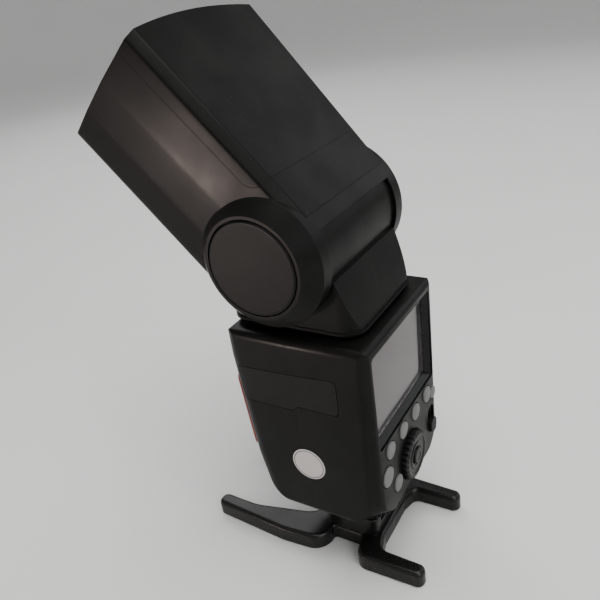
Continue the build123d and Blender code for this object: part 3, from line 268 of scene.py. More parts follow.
def machined_group():
    """Turned or drawn metal: fine streaks along one direction, from noise stretched by a scale vector."""
    tree, given, result = group_tree(
        "machined_streaks",
        [("Bright", "NodeSocketColor", None), ("Dull", "NodeSocketColor", None),
         ("Roughness", "NodeSocketFloat", 0.3), ("Stretch", "NodeSocketVector", (1.0, 1.0, 12.0))],
        [("Color", "NodeSocketColor"), ("Roughness", "NodeSocketFloat"), ("Normal", "NodeSocketVector")])
    where = add_node(tree, "ShaderNodeTexCoord").outputs["Object"]
    stretched = add_node(tree, "ShaderNodeVectorMath", {"operation": "MULTIPLY"},
                         i0=where, i1=given.outputs["Stretch"]).outputs[0]
    streaks = noise(tree, stretched, 900.0, 3.0, 0.6)
    tarnish = noise(tree, where, 120.0, 3.0)
    tarnished = spread(tree, tarnish, 0.4, 0.75, 0.0, 1.0)
    tone = mixed(tree, tarnished, given.outputs["Bright"], given.outputs["Dull"])
    tree.links.new(tone, result.inputs["Color"])
    smoother = given.outputs["Roughness"]
    rougher = add_node(tree, "ShaderNodeMath", {"operation": "ADD"}, i0=smoother, i1=0.22).outputs[0]
    tree.links.new(spread(tree, streaks, 0.3, 0.7, smoother, rougher), result.inputs["Roughness"])
    bump = add_node(tree, "ShaderNodeBump", None, Strength=0.18, Distance=0.00004, Height=streaks)
    tree.links.new(bump.outputs["Normal"], result.inputs["Normal"])
    return tree


GROUPS = {}


def group(name):
    """The shared node group, built the first time it is asked for."""
    if name not in GROUPS:
        GROUPS[name] = {"moulded": moulded_group, "dust": dust_group, "machined": machined_group}[name]()
    return GROUPS[name]


# ------------------------------------------------------------------ finishes
def new_finish(name, **values):
    """Material with one Principled shader; values set its sockets directly."""
    material = bpy.data.materials.new(name)
    material.use_nodes = True
    tree = material.node_tree
    tree.nodes.clear()
    shader = tree.nodes.new("ShaderNodeBsdfPrincipled")
    out = tree.nodes.new("ShaderNodeOutputMaterial")
    tree.links.new(shader.outputs["BSDF"], out.inputs["Surface"])
    for label, value in values.items():
        shader.inputs[label.replace("_", " ")].default_value = value
    return material, tree, shader


def rgba(colour, scale=1.0):
    return (colour[0] * scale, colour[1] * scale, colour[2] * scale, 1.0)


def place_group(tree, name, **values):
    node = tree.nodes.new("ShaderNodeGroup")
    node.node_tree = group(name)
    for label, value in values.items():
        node.inputs[label.replace("_", " ")].default_value = value
    return node


def round_edges(tree):
    """Normal that turns smoothly over every cut edge, within the edge softening's width."""
    width = bpy.context.scene.flash_shell.edge
    return add_node(tree, "ShaderNodeBevel", {"samples": 6}, Radius=width).outputs["Normal"]


def moulded(name, tone, worn, roughness, patchiness=0.06, grain=0.0004, depth=0.2, dust=0.0, **values):
    """Any moulded plastic or rubber."""
    material, tree, shader = new_finish(name, **values)
    surface = place_group(tree, "moulded", Tone=rgba(tone), Worn_Tone=rgba(worn), Roughness=roughness,
                          Patchiness=patchiness, Grain_Size=grain, Grain_Depth=depth)
    tree.links.new(round_edges(tree), surface.inputs["Normal"])
    colour = surface.outputs["Color"]
    if dust:
        specks = place_group(tree, "dust", Amount=dust)
        pale = add_node(tree, "ShaderNodeRGB")
        pale.outputs[0].default_value = (0.32, 0.31, 0.30, 1.0)
        colour = mixed(tree, specks.outputs["Mask"], colour, pale.outputs[0])
    tree.links.new(colour, shader.inputs["Base Color"])
    tree.links.new(surface.outputs["Roughness"], shader.inputs["Roughness"])
    tree.links.new(surface.outputs["Normal"], shader.inputs["Normal"])
    return material


def machined(name, bright, dull, roughness, stretch=(1.0, 1.0, 12.0)):
    """Any bare metal."""
    material, tree, shader = new_finish(name, Metallic=1.0)
    surface = place_group(tree, "machined", Bright=rgba(bright), Dull=rgba(dull), Roughness=roughness,
                          Stretch=stretch)
    for label in ("Color", "Roughness", "Normal"):
        tree.links.new(surface.outputs[label], shader.inputs["Base Color" if label == "Color" else label])
    return material


def clear_plastic(name, tone, worn, roughness, depth, bend=1.49):
    """Clear or tinted moulding with faint moulding marks in its gloss."""
    material, tree, shader = new_finish(name, Transmission_Weight=1.0, IOR=bend)
    surface = place_group(tree, "moulded", Tone=rgba(tone), Worn_Tone=rgba(worn), Roughness=roughness,
                          Patchiness=roughness * 0.4, Grain_Size=0.0009, Grain_Depth=depth)
    tree.links.new(add_node(tree, "ShaderNodeNewGeometry").outputs["Normal"], surface.inputs["Normal"])
    for label in ("Color", "Roughness", "Normal"):
        tree.links.new(surface.outputs[label], shader.inputs["Base Color" if label == "Color" else label])
    return material


def shell_plastic():
    shell = bpy.context.scene.flash_shell
    return moulded("shell_plastic", shell.colour, shell.sheen_colour, shell.roughness, 0.05, shell.grain,
                   0.22, dust=0.22, Specular_IOR_Level=0.20)


def stand_plastic():
    shell = bpy.context.scene.flash_shell
    return moulded("stand_plastic", shell.sheen_colour, (0.022, 0.0215, 0.021), 0.28, 0.07, 0.0007, 0.14,
                   dust=0.3, Specular_IOR_Level=0.42)


def ring_plastic():
    return moulded("ring_plastic", (0.005, 0.005, 0.005), (0.010, 0.010, 0.0098), 0.40, 0.05, 0.0003, 0.25,
                   dust=0.4, Specular_IOR_Level=0.4)


def key_plastic():
    tone = bpy.context.scene.flash_control.key_colour
    worn = [0.86 * value for value in tone]
    return moulded("key_plastic", tone, worn, 0.46, 0.05, 0.00025, 0.16, dust=0.1)


def dial_plastic():
    return moulded("dial_plastic", (0.012, 0.012, 0.0118), (0.022, 0.022, 0.0215), 0.36, 0.06, 0.0003, 0.2,
                   dust=0.3, Specular_IOR_Level=0.45)


def battery_plastic():
    return moulded("battery_plastic", (0.0038, 0.0038, 0.0038), (0.0075, 0.0075, 0.0072), 0.42, 0.05,
                   0.0005, 0.26, dust=0.25, Specular_IOR_Level=0.38)


def inner_plastic():
    return moulded("inner_plastic", (0.03, 0.03, 0.031), (0.045, 0.045, 0.046), 0.5, 0.05, 0.0005, 0.15)


def cover_rubber():
    return moulded("cover_rubber", (0.0098, 0.0098, 0.0096), (0.0150, 0.0150, 0.0145), 0.50, 0.05,
                   0.0003, 0.3, dust=0.35, Specular_IOR_Level=0.27)


def screen_frame():
    return moulded("screen_frame", (0.0032, 0.0032, 0.0034), (0.006, 0.006, 0.006), 0.26, 0.05,
                   0.0006, 0.08, dust=0.2, Specular_IOR_Level=0.42)


def card_white():
    return moulded("card_white", (0.78, 0.78, 0.76), (0.72, 0.72, 0.70), 0.5, 0.05, 0.0004, 0.12)


def capacitor_sleeve():
    return moulded("capacitor_sleeve", (0.012, 0.016, 0.05), (0.02, 0.025, 0.07), 0.25, 0.06, 0.002, 0.2)


def red_window():
    """Deep red moulding: nearly opaque, with a smooth coat."""
    return moulded("red_window", (0.16, 0.006, 0.006), (0.24, 0.012, 0.01), 0.16, 0.05, 0.0015, 0.06,
                   dust=0.3, Coat_Weight=0.6, Coat_Roughness=0.08)


def winding():
    """Taped coil: even turns across the height, from a sine wave."""
    material, tree, shader = new_finish("winding", Roughness=0.45)
    where = add_node(tree, "ShaderNodeTexCoord").outputs["Object"]
    turns = add_node(tree, "ShaderNodeTexWave", {"bands_direction": "Z"}, Scale=380.0, Distortion=1.5)
    tree.links.new(where, turns.inputs["Vector"])
    ramp = add_node(tree, "ShaderNodeValToRGB")
    ramp.color_ramp.elements[0].color = (0.20, 0.11, 0.025, 1)
    ramp.color_ramp.elements[1].color = (0.50, 0.32, 0.08, 1)
    tree.links.new(turns.outputs["Fac"], ramp.inputs["Fac"])
    tree.links.new(ramp.outputs["Color"], shader.inputs["Base Color"])
    bump = add_node(tree, "ShaderNodeBump", None, Strength=0.5, Distance=0.0001,
                    Height=turns.outputs["Fac"])
    tree.links.new(bump.outputs["Normal"], shader.inputs["Normal"])
    return material


def board():
    """Green board with tracks: cells of a Voronoi pattern drawn as thin lines."""
    material, tree, shader = new_finish("board", Roughness=0.35, Coat_Weight=0.3)
    where = add_node(tree, "ShaderNodeTexCoord").outputs["Object"]
    cells = add_node(tree, "ShaderNodeTexVoronoi", {"feature": "DISTANCE_TO_EDGE"}, Scale=260.0)
    tree.links.new(where, cells.inputs["Vector"])
    ramp = add_node(tree, "ShaderNodeValToRGB")
    ramp.color_ramp.elements[0].color = (0.05, 0.22, 0.08, 1)
    ramp.color_ramp.elements[1].color = (0.012, 0.09, 0.035, 1)
    ramp.color_ramp.elements[1].position = 0.08
    tree.links.new(cells.outputs["Distance"], ramp.inputs["Fac"])
    tree.links.new(ramp.outputs["Color"], shader.inputs["Base Color"])
    bump = add_node(tree, "ShaderNodeBump", None, Strength=0.3, Distance=0.00005,
                    Height=cells.outputs["Distance"])
    tree.links.new(bump.outputs["Normal"], shader.inputs["Normal"])
    return material


def screen_panel():
    """Unlit liquid-crystal panel: pale grey with a slow blue and warm drift, under a thin film."""
    screen = bpy.context.scene.flash_screen
    material, tree, shader = new_finish(
        "screen_panel", Roughness=0.34, Specular_IOR_Level=0.3,
        Thin_Film_Thickness=screen.film, Thin_Film_IOR=1.45)
    where = add_node(tree, "ShaderNodeTexCoord").outputs["Object"]
    drift = noise(tree, where, 26.0, 2.0)
    ramp = add_node(tree, "ShaderNodeValToRGB")
    tone = screen.colour
    ramp.color_ramp.elements[0].position = 0.35
    ramp.color_ramp.elements[0].color = (tone[0] * 0.90, tone[1] * 0.96, tone[2] * 1.05, 1)
    ramp.color_ramp.elements[1].position = 0.68
    ramp.color_ramp.elements[1].color = (tone[0] * 1.08, tone[1] * 1.02, tone[2] * 0.98, 1)
    tree.links.new(drift, ramp.inputs["Fac"])
    tree.links.new(ramp.outputs["Color"], shader.inputs["Base Color"])
    return material


def screen_pane():
    return clear_plastic("screen_pane", (0.93, 0.94, 0.95), (0.9, 0.91, 0.93), 0.06, 0.01, bend=1.25)


def lens():
    return clear_plastic("lens", (0.93, 0.95, 0.95), (0.9, 0.92, 0.92), 0.09, 0.03)


def panel_clear():
    return clear_plastic("panel_clear", (0.92, 0.94, 0.93), (0.88, 0.90, 0.90), 0.22, 0.12)


def tube_glass():
    return clear_plastic("tube_glass", (0.95, 0.96, 0.97), (0.92, 0.93, 0.95), 0.04, 0.01)


def steel():
    return machined("steel", (0.50, 0.50, 0.51), (0.36, 0.36, 0.37), 0.22)


def brass():
    return machined("brass", (0.65, 0.45, 0.18), (0.42, 0.28, 0.11), 0.25, (1.0, 1.0, 16.0))


def contact_gold():
    return machined("contact_gold", (0.78, 0.56, 0.21), (0.6, 0.42, 0.16), 0.18, (4.0, 4.0, 4.0))


def reflector_metal():
    return machined("reflector_metal", (0.82, 0.82, 0.83), (0.72, 0.72, 0.74), 0.10, (10.0, 1.0, 1.0))


def label_print():
    """White sticker with a thin dark ring inside its rim; the ring is a band of the UV map's radius."""
    material, tree, shader = new_finish("label_print", Roughness=0.42)
    disc = add_node(tree, "ShaderNodeUVMap", {"uv_map": "disc"}).outputs["UV"]
    radius = add_node(tree, "ShaderNodeSeparateXYZ", None, Vector=disc).outputs["X"]
    paper = noise(tree, add_node(tree, "ShaderNodeTexCoord").outputs["Object"], 1500.0, 3.0)
    ramp = add_node(tree, "ShaderNodeValToRGB")
    stops = ramp.color_ramp
    stops.interpolation = "LINEAR"
    white, dark = (0.50, 0.485, 0.47, 1), (0.02, 0.018, 0.02, 1)
    stops.elements[0].position, stops.elements[0].color = 0.0, white
    stops.elements[1].position, stops.elements[1].color = 1.0, white
    for position, colour in ((0.868, white), (0.878, dark), (0.905, dark), (0.915, white)):
        stops.elements.new(position).color = colour
    tree.links.new(radius, ramp.inputs["Fac"])
    tree.links.new(ramp.outputs["Color"], shader.inputs["Base Color"])
    bump = add_node(tree, "ShaderNodeBump", None, Strength=0.15, Distance=0.00003, Height=paper)
    tree.links.new(bump.outputs["Normal"], shader.inputs["Normal"])
    return material


MAKERS = {maker.__name__: maker for maker in (
    shell_plastic, stand_plastic, ring_plastic, key_plastic, dial_plastic, battery_plastic, inner_plastic,
    cover_rubber, screen_frame, card_white, capacitor_sleeve, red_window, winding, board, screen_panel,
    screen_pane, lens, panel_clear, tube_glass, steel, brass, contact_gold, reflector_metal, label_print,
)}
FINISHES = {}


def finish(name):
    """The finish of a material slot, built the first time it is asked for."""
    if name not in FINISHES:
        FINISHES[name] = MAKERS[name]()
    return FINISHES[name]


# ------------------------------------------------------------------ mesh helpers
def closed_mesh(name, points, faces):
    """Mesh from arrays, with doubled points merged and every face turned outwards."""
    mesh = bpy.data.meshes.new(name)
    mesh.from_pydata(points.tolist(), [], faces.tolist())
    work = bmesh.new()
    work.from_mesh(mesh)
    bmesh.ops.remove_doubles(work, verts=work.verts, dist=MERGE_WITHIN)
    bmesh.ops.recalc_face_normals(work, faces=work.faces)
    work.to_mesh(mesh)
    work.free()
    return mesh


def skin(name, grid):
    """Tube-like surface: a grid of points whose columns run round and join up."""
    rows, columns = grid.shape[:2]
    index = np.arange(rows * columns).reshape(rows, columns)
    turned_on = np.roll(index, -1, axis=1)
    faces = np.stack([index[:-1], turned_on[:-1], turned_on[1:], index[1:]], axis=-1).reshape(-1, 4)
    return closed_mesh(name, grid.reshape(-1, 3), faces)


def arcs(corners, steps=6):
    """Outline through (a, b, radius) corners: each rounded one becomes an arc between its two sides."""
    points = []
    for index, (a, b, radius) in enumerate(corners):
        here = np.array((a, b), float)
        if radius == 0 or index in (0, len(corners) - 1):
            points.append(here)
            continue
        back = np.array(corners[index - 1][:2]) - here
        on = np.array(corners[index + 1][:2]) - here
        back /= np.linalg.norm(back)
        on /= np.linalg.norm(on)
        half = math.acos(np.clip(back @ on, -1, 1)) / 2
        centre = here + (back + on) / np.linalg.norm(back + on) * radius / math.sin(half)
        start = here + back * radius / math.tan(half) - centre
        end = here + on * radius / math.tan(half) - centre
        angle = math.acos(np.clip(start @ end / radius ** 2, -1, 1))
        share = np.linspace(0, 1, steps)[:, None]
        swing = np.sin((1 - share) * angle) * start + np.sin(share * angle) * end
        points.extend(centre + swing / math.sin(angle))
    return np.array(points)


def turned(name, centre, axes, profile, sides=96, ripple=None):
    """Surface of revolution: radius and height along the profile, turned about the out axis.
    ripple gives, for each row and angle, what is taken off the radius."""
    right, up, out = axes
    radius, height = profile[:, 0, None], profile[:, 1, None]
    angle = np.linspace(0, TAU, sides, endpoint=False)[None, :]
    reach = radius + 0 * angle
    if ripple is not None:
        reach = reach - ripple(radius, height, angle)
    grid = (centre + (reach * np.cos(angle))[..., None] * right + (reach * np.sin(angle))[..., None] * up
            + (height + 0 * angle)[..., None] * out)
    return skin(name, grid)


def sheet_solid(name, front, back):
    """Closed plate between two grids of points of the same shape."""
    ring = np.concatenate([front, back[:, ::-1]], axis=1)
    first = np.concatenate([front[:1], front[:1, ::-1]], axis=1)
    last = np.concatenate([front[-1:], front[-1:, ::-1]], axis=1)
    return skin(name, np.concatenate([first, ring, last]))


def piece(mesh, node, sharp=TURNED_EDGE, slot=None, body=None):
    """Object for a finished mesh: smooth but for its sharp edges, riding on its node's body and standing
    for the node."""
    mesh.shade_smooth()
    mesh.set_sharp_from_angle(angle=math.radians(sharp))
    made = bpy.data.objects.new(mesh.name, mesh)
    bpy.context.scene.collection.objects.link(made)
    name = slot or SLOT_OF[node]
    mesh.materials.append(finish(name))
    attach(made, body or BODY_OF[node])
    if node:
        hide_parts(node)
    return made


def merged(*nodes):
    """Copies of CAD nodes with their loose triangles joined, smooth but for their cut edges, which the
    finish rounds."""
    for node in nodes:
        work = bmesh.new()
        work.from_mesh(frame["nodes"][node].data)
        bmesh.ops.remove_doubles(work, verts=work.verts, dist=MERGE_WITHIN)
        mesh = bpy.data.meshes.new(node + "_shape")
        work.to_mesh(mesh)
        work.free()
        if "custom_normal" in mesh.attributes:
            mesh.attributes.remove(mesh.attributes["custom_normal"])
        mesh.materials.clear()
        piece(mesh, node, CUT_EDGE)


def paint(*nodes):
    """CAD nodes whose shape is right: only their finish changes."""
    for node in nodes:
        slots = frame["nodes"][node].material_slots
        for slot in slots:
            slot.material = finish(SLOT_OF[node])


# ------------------------------------------------------------------ operators, one for each piece or group
class PieceOperator:
    """What every operator here shares."""
    bl_options = {"REGISTER", "UNDO"}

    def execute(self, context):
        self.make(context.scene)
        return {"FINISHED"}


class FLASH_OT_stand(PieceOperator, bpy.types.Operator):
    """Four-legged stand with its cold shoe, socket insert and shoe spring"""
    bl_idname = "flash.stand"
    bl_label = "Mini stand"

    def make(self, scene):
        merged("mini_stand")
        paint("tripod_insert", "shoe_spring")


class FLASH_OT_foot(PieceOperator, bpy.types.Operator):
    """Metal foot with its contacts and pin, and the plinth with its screws"""
    bl_idname = "flash.foot"
    bl_label = "Foot and plinth"

    def make(self, scene):
        merged("foot_plinth", "foot_plate")
        paint("foot_contacts", "lock_pin", "plinth_screws")


class FLASH_OT_lock_ring(PieceOperator, bpy.types.Operator):
    """Knurled lock ring: a turned rim with a rounded groove between ribs, on a plain hub"""
    bl_idname = "flash.lock_ring"
    bl_label = "Lock ring"

    def make(self, scene):
        ribs = scene.flash_control.ring_ribs
        bottom, top = low("lock_ring"), high("lock_ring")
        rim = top[0]
        rim_bottom = top[2] - 5.0 * MM
        hub, bore, edge = 12.0 * MM, 5.7 * MM, 0.7 * MM
        profile = arcs([
            (bore, bottom[2], 0), (hub, bottom[2], 0.3 * MM), (hub, rim_bottom, 0.4 * MM),
            (rim, rim_bottom, edge), (rim, top[2], edge), (bore, top[2], 0.3 * MM), (bore, bottom[2], 0),
        ])

        def grooves(radius, height, angle):
            wave = 0.5 - 0.5 * np.cos(ribs * angle)
            near_rim = np.clip((radius - rim + 1.6 * MM) / (1.2 * MM), 0, 1)
            return 0.75 * MM * near_rim * wave ** 2.2

        ring = turned("knurled_ring", np.zeros(3), UPWARD, profile, sides=ribs * 10, ripple=grooves)
        piece(ring, "lock_ring")


class FLASH_OT_case(PieceOperator, bpy.types.Operator):
    """Front and rear halves of the case, with the joint line between them, and the red window"""
    bl_idname = "flash.case"
    bl_label = "Case halves"

    def make(self, scene):
        merged("front_case", "rear_case", "assist_window")


class FLASH_OT_screen(PieceOperator, bpy.types.Operator):
    """Screen frame, its pane as a faintly crowned sheet, and the grey panel behind it"""
    bl_idname = "flash.screen"
    bl_label = "Screen"

    def make(self, scene):
        merged("lcd_bezel", "lcd_panel")
        bottom, top = low("lcd_window"), high("lcd_window")
        a = np.linspace(bottom[0], top[0], 40)[None, :]
        b = np.linspace(bottom[2], top[2], 30)[:, None]
        rise = 0.12 * MM
        clear_of_panel = 0.25 * MM
        across = a / top[0]
        upward = (b - middle("lcd_window")[2]) / (top[2] - bottom[2]) * 2
        crown = rise * (1 - across ** 2) * (1 - upward ** 2)
        front = np.stack(np.broadcast_arrays(a, top[1] - rise + crown, b), axis=-1)
        back = np.stack(np.broadcast_arrays(a, bottom[1] + clear_of_panel + 0 * crown, b), axis=-1)
        piece(sheet_solid("screen_sheet", front, back), "lcd_window")


class FLASH_OT_keys(PieceOperator, bpy.types.Operator):
    """Round keys: a turned cap with a soft rim and a domed top, on a flange behind the wall"""
    bl_idname = "flash.keys"
    bl_label = "Keys"

    def make(self, scene):
        crown = scene.flash_control.key_crown
        for node in ("key_1", "key_2", "key_3", "key_4", "test_key", "mode_key", "lock_key"):
            bottom, top = low(node), high(node)
            flange = (top[2] - bottom[2]) / 2
            radius = flange - 0.7 * MM
            face = top[1] - crown
            seat = bottom[1] + 1.0 * MM
            inside = min(flange, radius + 0.1 * MM) if node == "lock_key" else flange
            shares = np.linspace(0.86, 0, 9)
            dome = [(radius * share, face + crown * (1 - share ** 2), 0) for share in shares]
            profile = arcs([
                (0, bottom[1], 0), (inside, bottom[1], 0), (inside, seat, 0), (radius, seat, 0),
                (radius, face, 0.62 * MM),
            ] + dome)
            centre = np.array((bottom[0] + top[0], 0, bottom[2] + top[2])) / 2
            if node == "lock_key":
                centre[0] = top[0] - flange
            piece(turned(node + "_cap", centre, REAR, profile, sides=72), node)
        paint("key_domes")


class FLASH_OT_dial(PieceOperator, bpy.types.Operator):
    """Select dial with rounded finger ribs round a shallow dish, and the set key in its middle"""
    bl_idname = "flash.dial"
    bl_label = "Dial and set key"

    def make(self, scene):
        ribs = scene.flash_control.dial_ribs
        bottom, top = low("select_dial"), high("select_dial")
        rim = (top[2] - bottom[2]) / 2
        face = top[1]
        seat = face - 3.5 * MM
        stem, bore = 5.2 * MM, 3.7 * MM
        profile = arcs([
            (bore, bottom[1], 0), (stem, bottom[1], 0), (stem, seat, 0), (rim, seat, 0.3 * MM),
            (rim, face - 0.5 * MM, 0.6 * MM), (rim - 1.3 * MM, face, 0.6 * MM),
            (rim - 2.1 * MM, face, 0.3 * MM), (rim - 2.6 * MM, face - 0.45 * MM, 0.4 * MM),
            (stem + 1.0 * MM, face - 0.55 * MM, 0.4 * MM),
            (stem + 0.5 * MM, face - 0.1 * MM, 0.25 * MM), (stem - 0.5 * MM, face - 0.1 * MM, 0.25 * MM),
            (bore, face - 0.7 * MM, 0.2 * MM), (bore, bottom[1], 0),
        ])

        def finger_ribs(radius, height, angle):
            wave = 0.5 - 0.5 * np.cos(ribs * angle)
            near_rim = np.clip((radius - rim + 2.0 * MM) / (1.6 * MM), 0, 1)
            return 0.85 * MM * near_rim * wave ** 1.6

        centre = np.array((0, 0, (bottom[2] + top[2]) / 2))
        dial = turned("ribbed_dial", centre, REAR, profile, sides=ribs * 14, ripple=finger_ribs)
        piece(dial, "select_dial")
        bottom, top = low("set_key"), high("set_key")
        radius, flange, face = 3.4 * MM, (top[2] - bottom[2]) / 2, top[1]
        seat = bottom[1] + 1.0 * MM
        profile = arcs([
            (0, bottom[1], 0), (flange, bottom[1], 0), (flange, seat, 0), (radius, seat, 0),
            (radius, face - 0.15 * MM, 0.5 * MM), (radius * 0.72, face, 0.3 * MM),
            (radius * 0.6, face - 0.2 * MM, 0.3 * MM), (0, face - 0.3 * MM, 0),
        ])
        piece(turned("set_key_cap", centre, REAR, profile, sides=72), "set_key")


class FLASH_OT_switch(PieceOperator, bpy.types.Operator):
    """Power slider"""
    bl_idname = "flash.power_switch"
    bl_label = "Power switch"

    def make(self, scene):
        merged("power_switch")


class FLASH_OT_ports(PieceOperator, bpy.types.Operator):
    """Rubber cover over the side sockets, and the socket block behind it"""
    bl_idname = "flash.ports"
    bl_label = "Port cover"

    def make(self, scene):
        merged("port_cover")
        paint("port_block")


class FLASH_OT_battery(PieceOperator, bpy.types.Operator):
    """Battery pack with its latch, and the bay and terminals that it slides into"""
    bl_idname = "flash.battery"
    bl_label = "Battery"

    def make(self, scene):
        merged("battery_pack", "battery_latch")
        paint("battery_bay", "battery_terminals")


class FLASH_OT_inside(PieceOperator, bpy.types.Operator):
    """Boards, capacitor and transformer inside the case"""
    bl_idname = "flash.inside"
    bl_label = "Inside the case"

    def make(self, scene):
        paint("main_board", "control_board", "main_capacitor", "capacitor_clamp", "transformer")


class FLASH_OT_neck(PieceOperator, bpy.types.Operator):
    """Collar, swivel and the two halves of the neck with its barrel"""
    bl_idname = "flash.neck"
    bl_label = "Neck"

    def make(self, scene):
        merged("neck_left", "neck_right", "swivel_base")
        paint("swivel_spigot", "swivel_clip", "tilt_axles", "axle_washers")


class FLASH_OT_head(PieceOperator, bpy.types.Operator):
    """Top cover and the two shells of the head, with its screws"""
    bl_idname = "flash.head"
    bl_label = "Head shells"

    def make(self, scene):
        merged("head_top_cover", "head_upper_shell", "head_lower_shell")
        paint("head_screws", "panel_guide")


class FLASH_OT_pivot_caps(PieceOperator, bpy.types.Operator):
    """Round cap on each side of the head: a turned disc, faintly dished, with a soft rim"""
    bl_idname = "flash.pivot_caps"
    bl_label = "Pivot caps"

    def make(self, scene):
        bottom, top = low("pivot_caps"), high("pivot_caps")
        radius = (top[2] - bottom[2]) / 2 - 0.25 * MM
        seat = top[0] - 2.2 * MM
        depth = 0.25 * MM
        shares = np.linspace(0.93, 0, 10)
        dish = [(radius * share, top[0] - depth * (1 - share ** 2), 0) for share in shares]
        profile = arcs([(0, seat, 0), (radius, seat, 0), (radius, top[0], 0.8 * MM)] + dish, steps=8)
        meshes = []
        for side in (1, -1):
            centre = np.array((0, TILT_AXIS[1], TILT_AXIS[2]))
            axes = (Y_AXIS * side, Z_AXIS, X_AXIS * side)
            meshes.append(turned("cap", centre, axes, profile, sides=128))
        work = bmesh.new()
        for mesh in meshes:
            work.from_mesh(mesh)
        both = bpy.data.meshes.new("pivot_discs")
        work.to_mesh(both)
        work.free()
        piece(both, "pivot_caps")


class FLASH_OT_lens(PieceOperator, bpy.types.Operator):
    """Stepped lens: a bowed front face, and a back face cut in rings whose depth is a saw tooth of the
    distance from the middle"""
    bl_idname = "flash.lens"
    bl_label = "Front lens"

    def make(self, scene):
        pitch, step = scene.flash_head.lens_pitch, scene.flash_head.lens_step
        source = frame["nodes"]["fresnel_lens"].data
        points = np.empty(len(source.vertices) * 3)
        source.vertices.foreach_get("co", points)
        points = points.reshape(-1, 3) - TILT_AXIS
        along, up, across = points @ AIM, points @ LIFT, points[:, 0]
        half, bow = across.max(), along.max() - along[np.abs(across) > across.max() - 0.1 * MM].max()
        radius = (half ** 2 + bow ** 2) / (2 * bow)
        x = np.linspace(-half, half, 260)[None, :]
        v = np.linspace(up.min(), up.max(), 140)[:, None]
        front_u = along.max() - radius + np.sqrt(radius ** 2 - x ** 2) + 0 * v
        from_middle = np.hypot(x, v - (up.max() + up.min()) / 2)
        tooth = (from_middle / pitch) % 1.0
        back_u = front_u - 1.6 * MM + step * (1 - tooth)
        front, back = (
            TILT_AXIS * (0, 1, 1) + x[..., None] * X_AXIS + u[..., None] * AIM + v[..., None] * LIFT
            for u in (front_u, back_u))
        piece(sheet_solid("stepped_lens", front, back), "fresnel_lens", CUT_EDGE)


class FLASH_OT_panels(PieceOperator, bpy.types.Operator):
    """Clear wide-angle panel and white bounce card in the front slot"""
    bl_idname = "flash.panels"
    bl_label = "Sliding panels"

    def make(self, scene):
        merged("wide_panel", "bounce_card")


class FLASH_OT_zoom(PieceOperator, bpy.types.Operator):
    """Reflector, tube and the zoom drive inside the head"""
    bl_idname = "flash.zoom_drive"
    bl_label = "Zoom drive"

    def make(self, scene):
        paint("zoom_frame", "guide_rods", "zoom_motor", "zoom_screw", "zoom_carriage", "reflector",
              "flash_tube")


class FLASH_OT_label(PieceOperator, bpy.types.Operator):
    """Blank round sticker on the side of the case: a disc 0.15 mm thick with a soft rim"""
    bl_idname = "flash.side_label"
    bl_label = "Side sticker"

    def make(self, scene):
        radius, thick, sunk = 7.45 * MM, 0.15 * MM, -0.2 * MM
        forward, height = -5.5 * MM, 59.0 * MM
        shares = np.concatenate([[0.0, 1.0], np.linspace(1.0, 0.0, 13)])
        levels = np.concatenate([[sunk, sunk, 0.5 * thick], np.full(12, thick)])
        profile = np.stack([radius * shares, levels], axis=-1)
        centre = np.array((high("rear_case")[0], forward, height))
        mesh = turned("side_sticker", centre, PORT_SIDE, profile, sides=96)
        disc = mesh.uv_layers.new(name="disc")
        corners = np.empty(len(mesh.loops), int)
        mesh.loops.foreach_get("vertex_index", corners)
        points = np.empty(len(mesh.vertices) * 3)
        mesh.vertices.foreach_get("co", points)
        offset = points.reshape(-1, 3)[corners] - centre
        distance = np.hypot(offset[:, 1], offset[:, 2]) / radius
        disc.data.foreach_set("uv", np.stack([distance, 0 * distance + 0.5], axis=-1).ravel())
        piece(mesh, None, slot="label_print", body="flash_body")


# ------------------------------------------------------------------ stage
MIDDLE = (0.0, -0.015, 0.12)                # of the flash
# name, place, what the lamp points at, width, power, colour, and the cone of its light in degrees
LAMPS = (
    ("overhead", (0.15, 0.20, 1.25), MIDDLE, 1.0, 8.5, (1.0, 0.99, 0.97), 180),
    ("screen_side", (0.55, 1.05, 0.75), MIDDLE, 0.9, 5.5, (1.0, 1.0, 1.0), 180),
    ("port_side", (0.49, -0.27, 0.065), (0.03, -0.03, 0.17), 0.10, 0.075, (1.0, 0.84, 0.78), 44),
    ("battery_side", (-0.95, 0.65, 0.72), MIDDLE, 0.9, 2.4, (0.97, 0.99, 1.0), 180),
    ("front_high", (-0.70, -0.85, 1.00), MIDDLE, 0.9, 4.5, (1.0, 1.0, 1.0), 180),
)
CAMERA_TARGET = (-1.90 * MM, -21.67 * MM, 114.03 * MM)
CAMERA_TURN = (124.01, 27.08, -8.19)        # azimuth, elevation and roll, in degrees
CAMERA_DISTANCE = 0.26948
CAMERA_LENS = 38.82                         # millimetres, for a sensor 36 mm wide


def soft_lamp(scene, name, place, aim, width, power, colour, cone):
    """Square area lamp that points from one place at another."""
    lamp = bpy.data.lights.new(name, "AREA")
    lamp.shape = "RECTANGLE"
    lamp.size = lamp.size_y = width
    lamp.spread = math.radians(cone)
    lamp.energy = power * scene.flash_stage.light_power
    lamp.color = colour
    made = bpy.data.objects.new(name, lamp)
    scene.collection.objects.link(made)
    made.location = place
    made.rotation_mode = "QUATERNION"
    made.rotation_quaternion = (Vector(aim) - Vector(place)).to_track_quat("-Z", "Y")


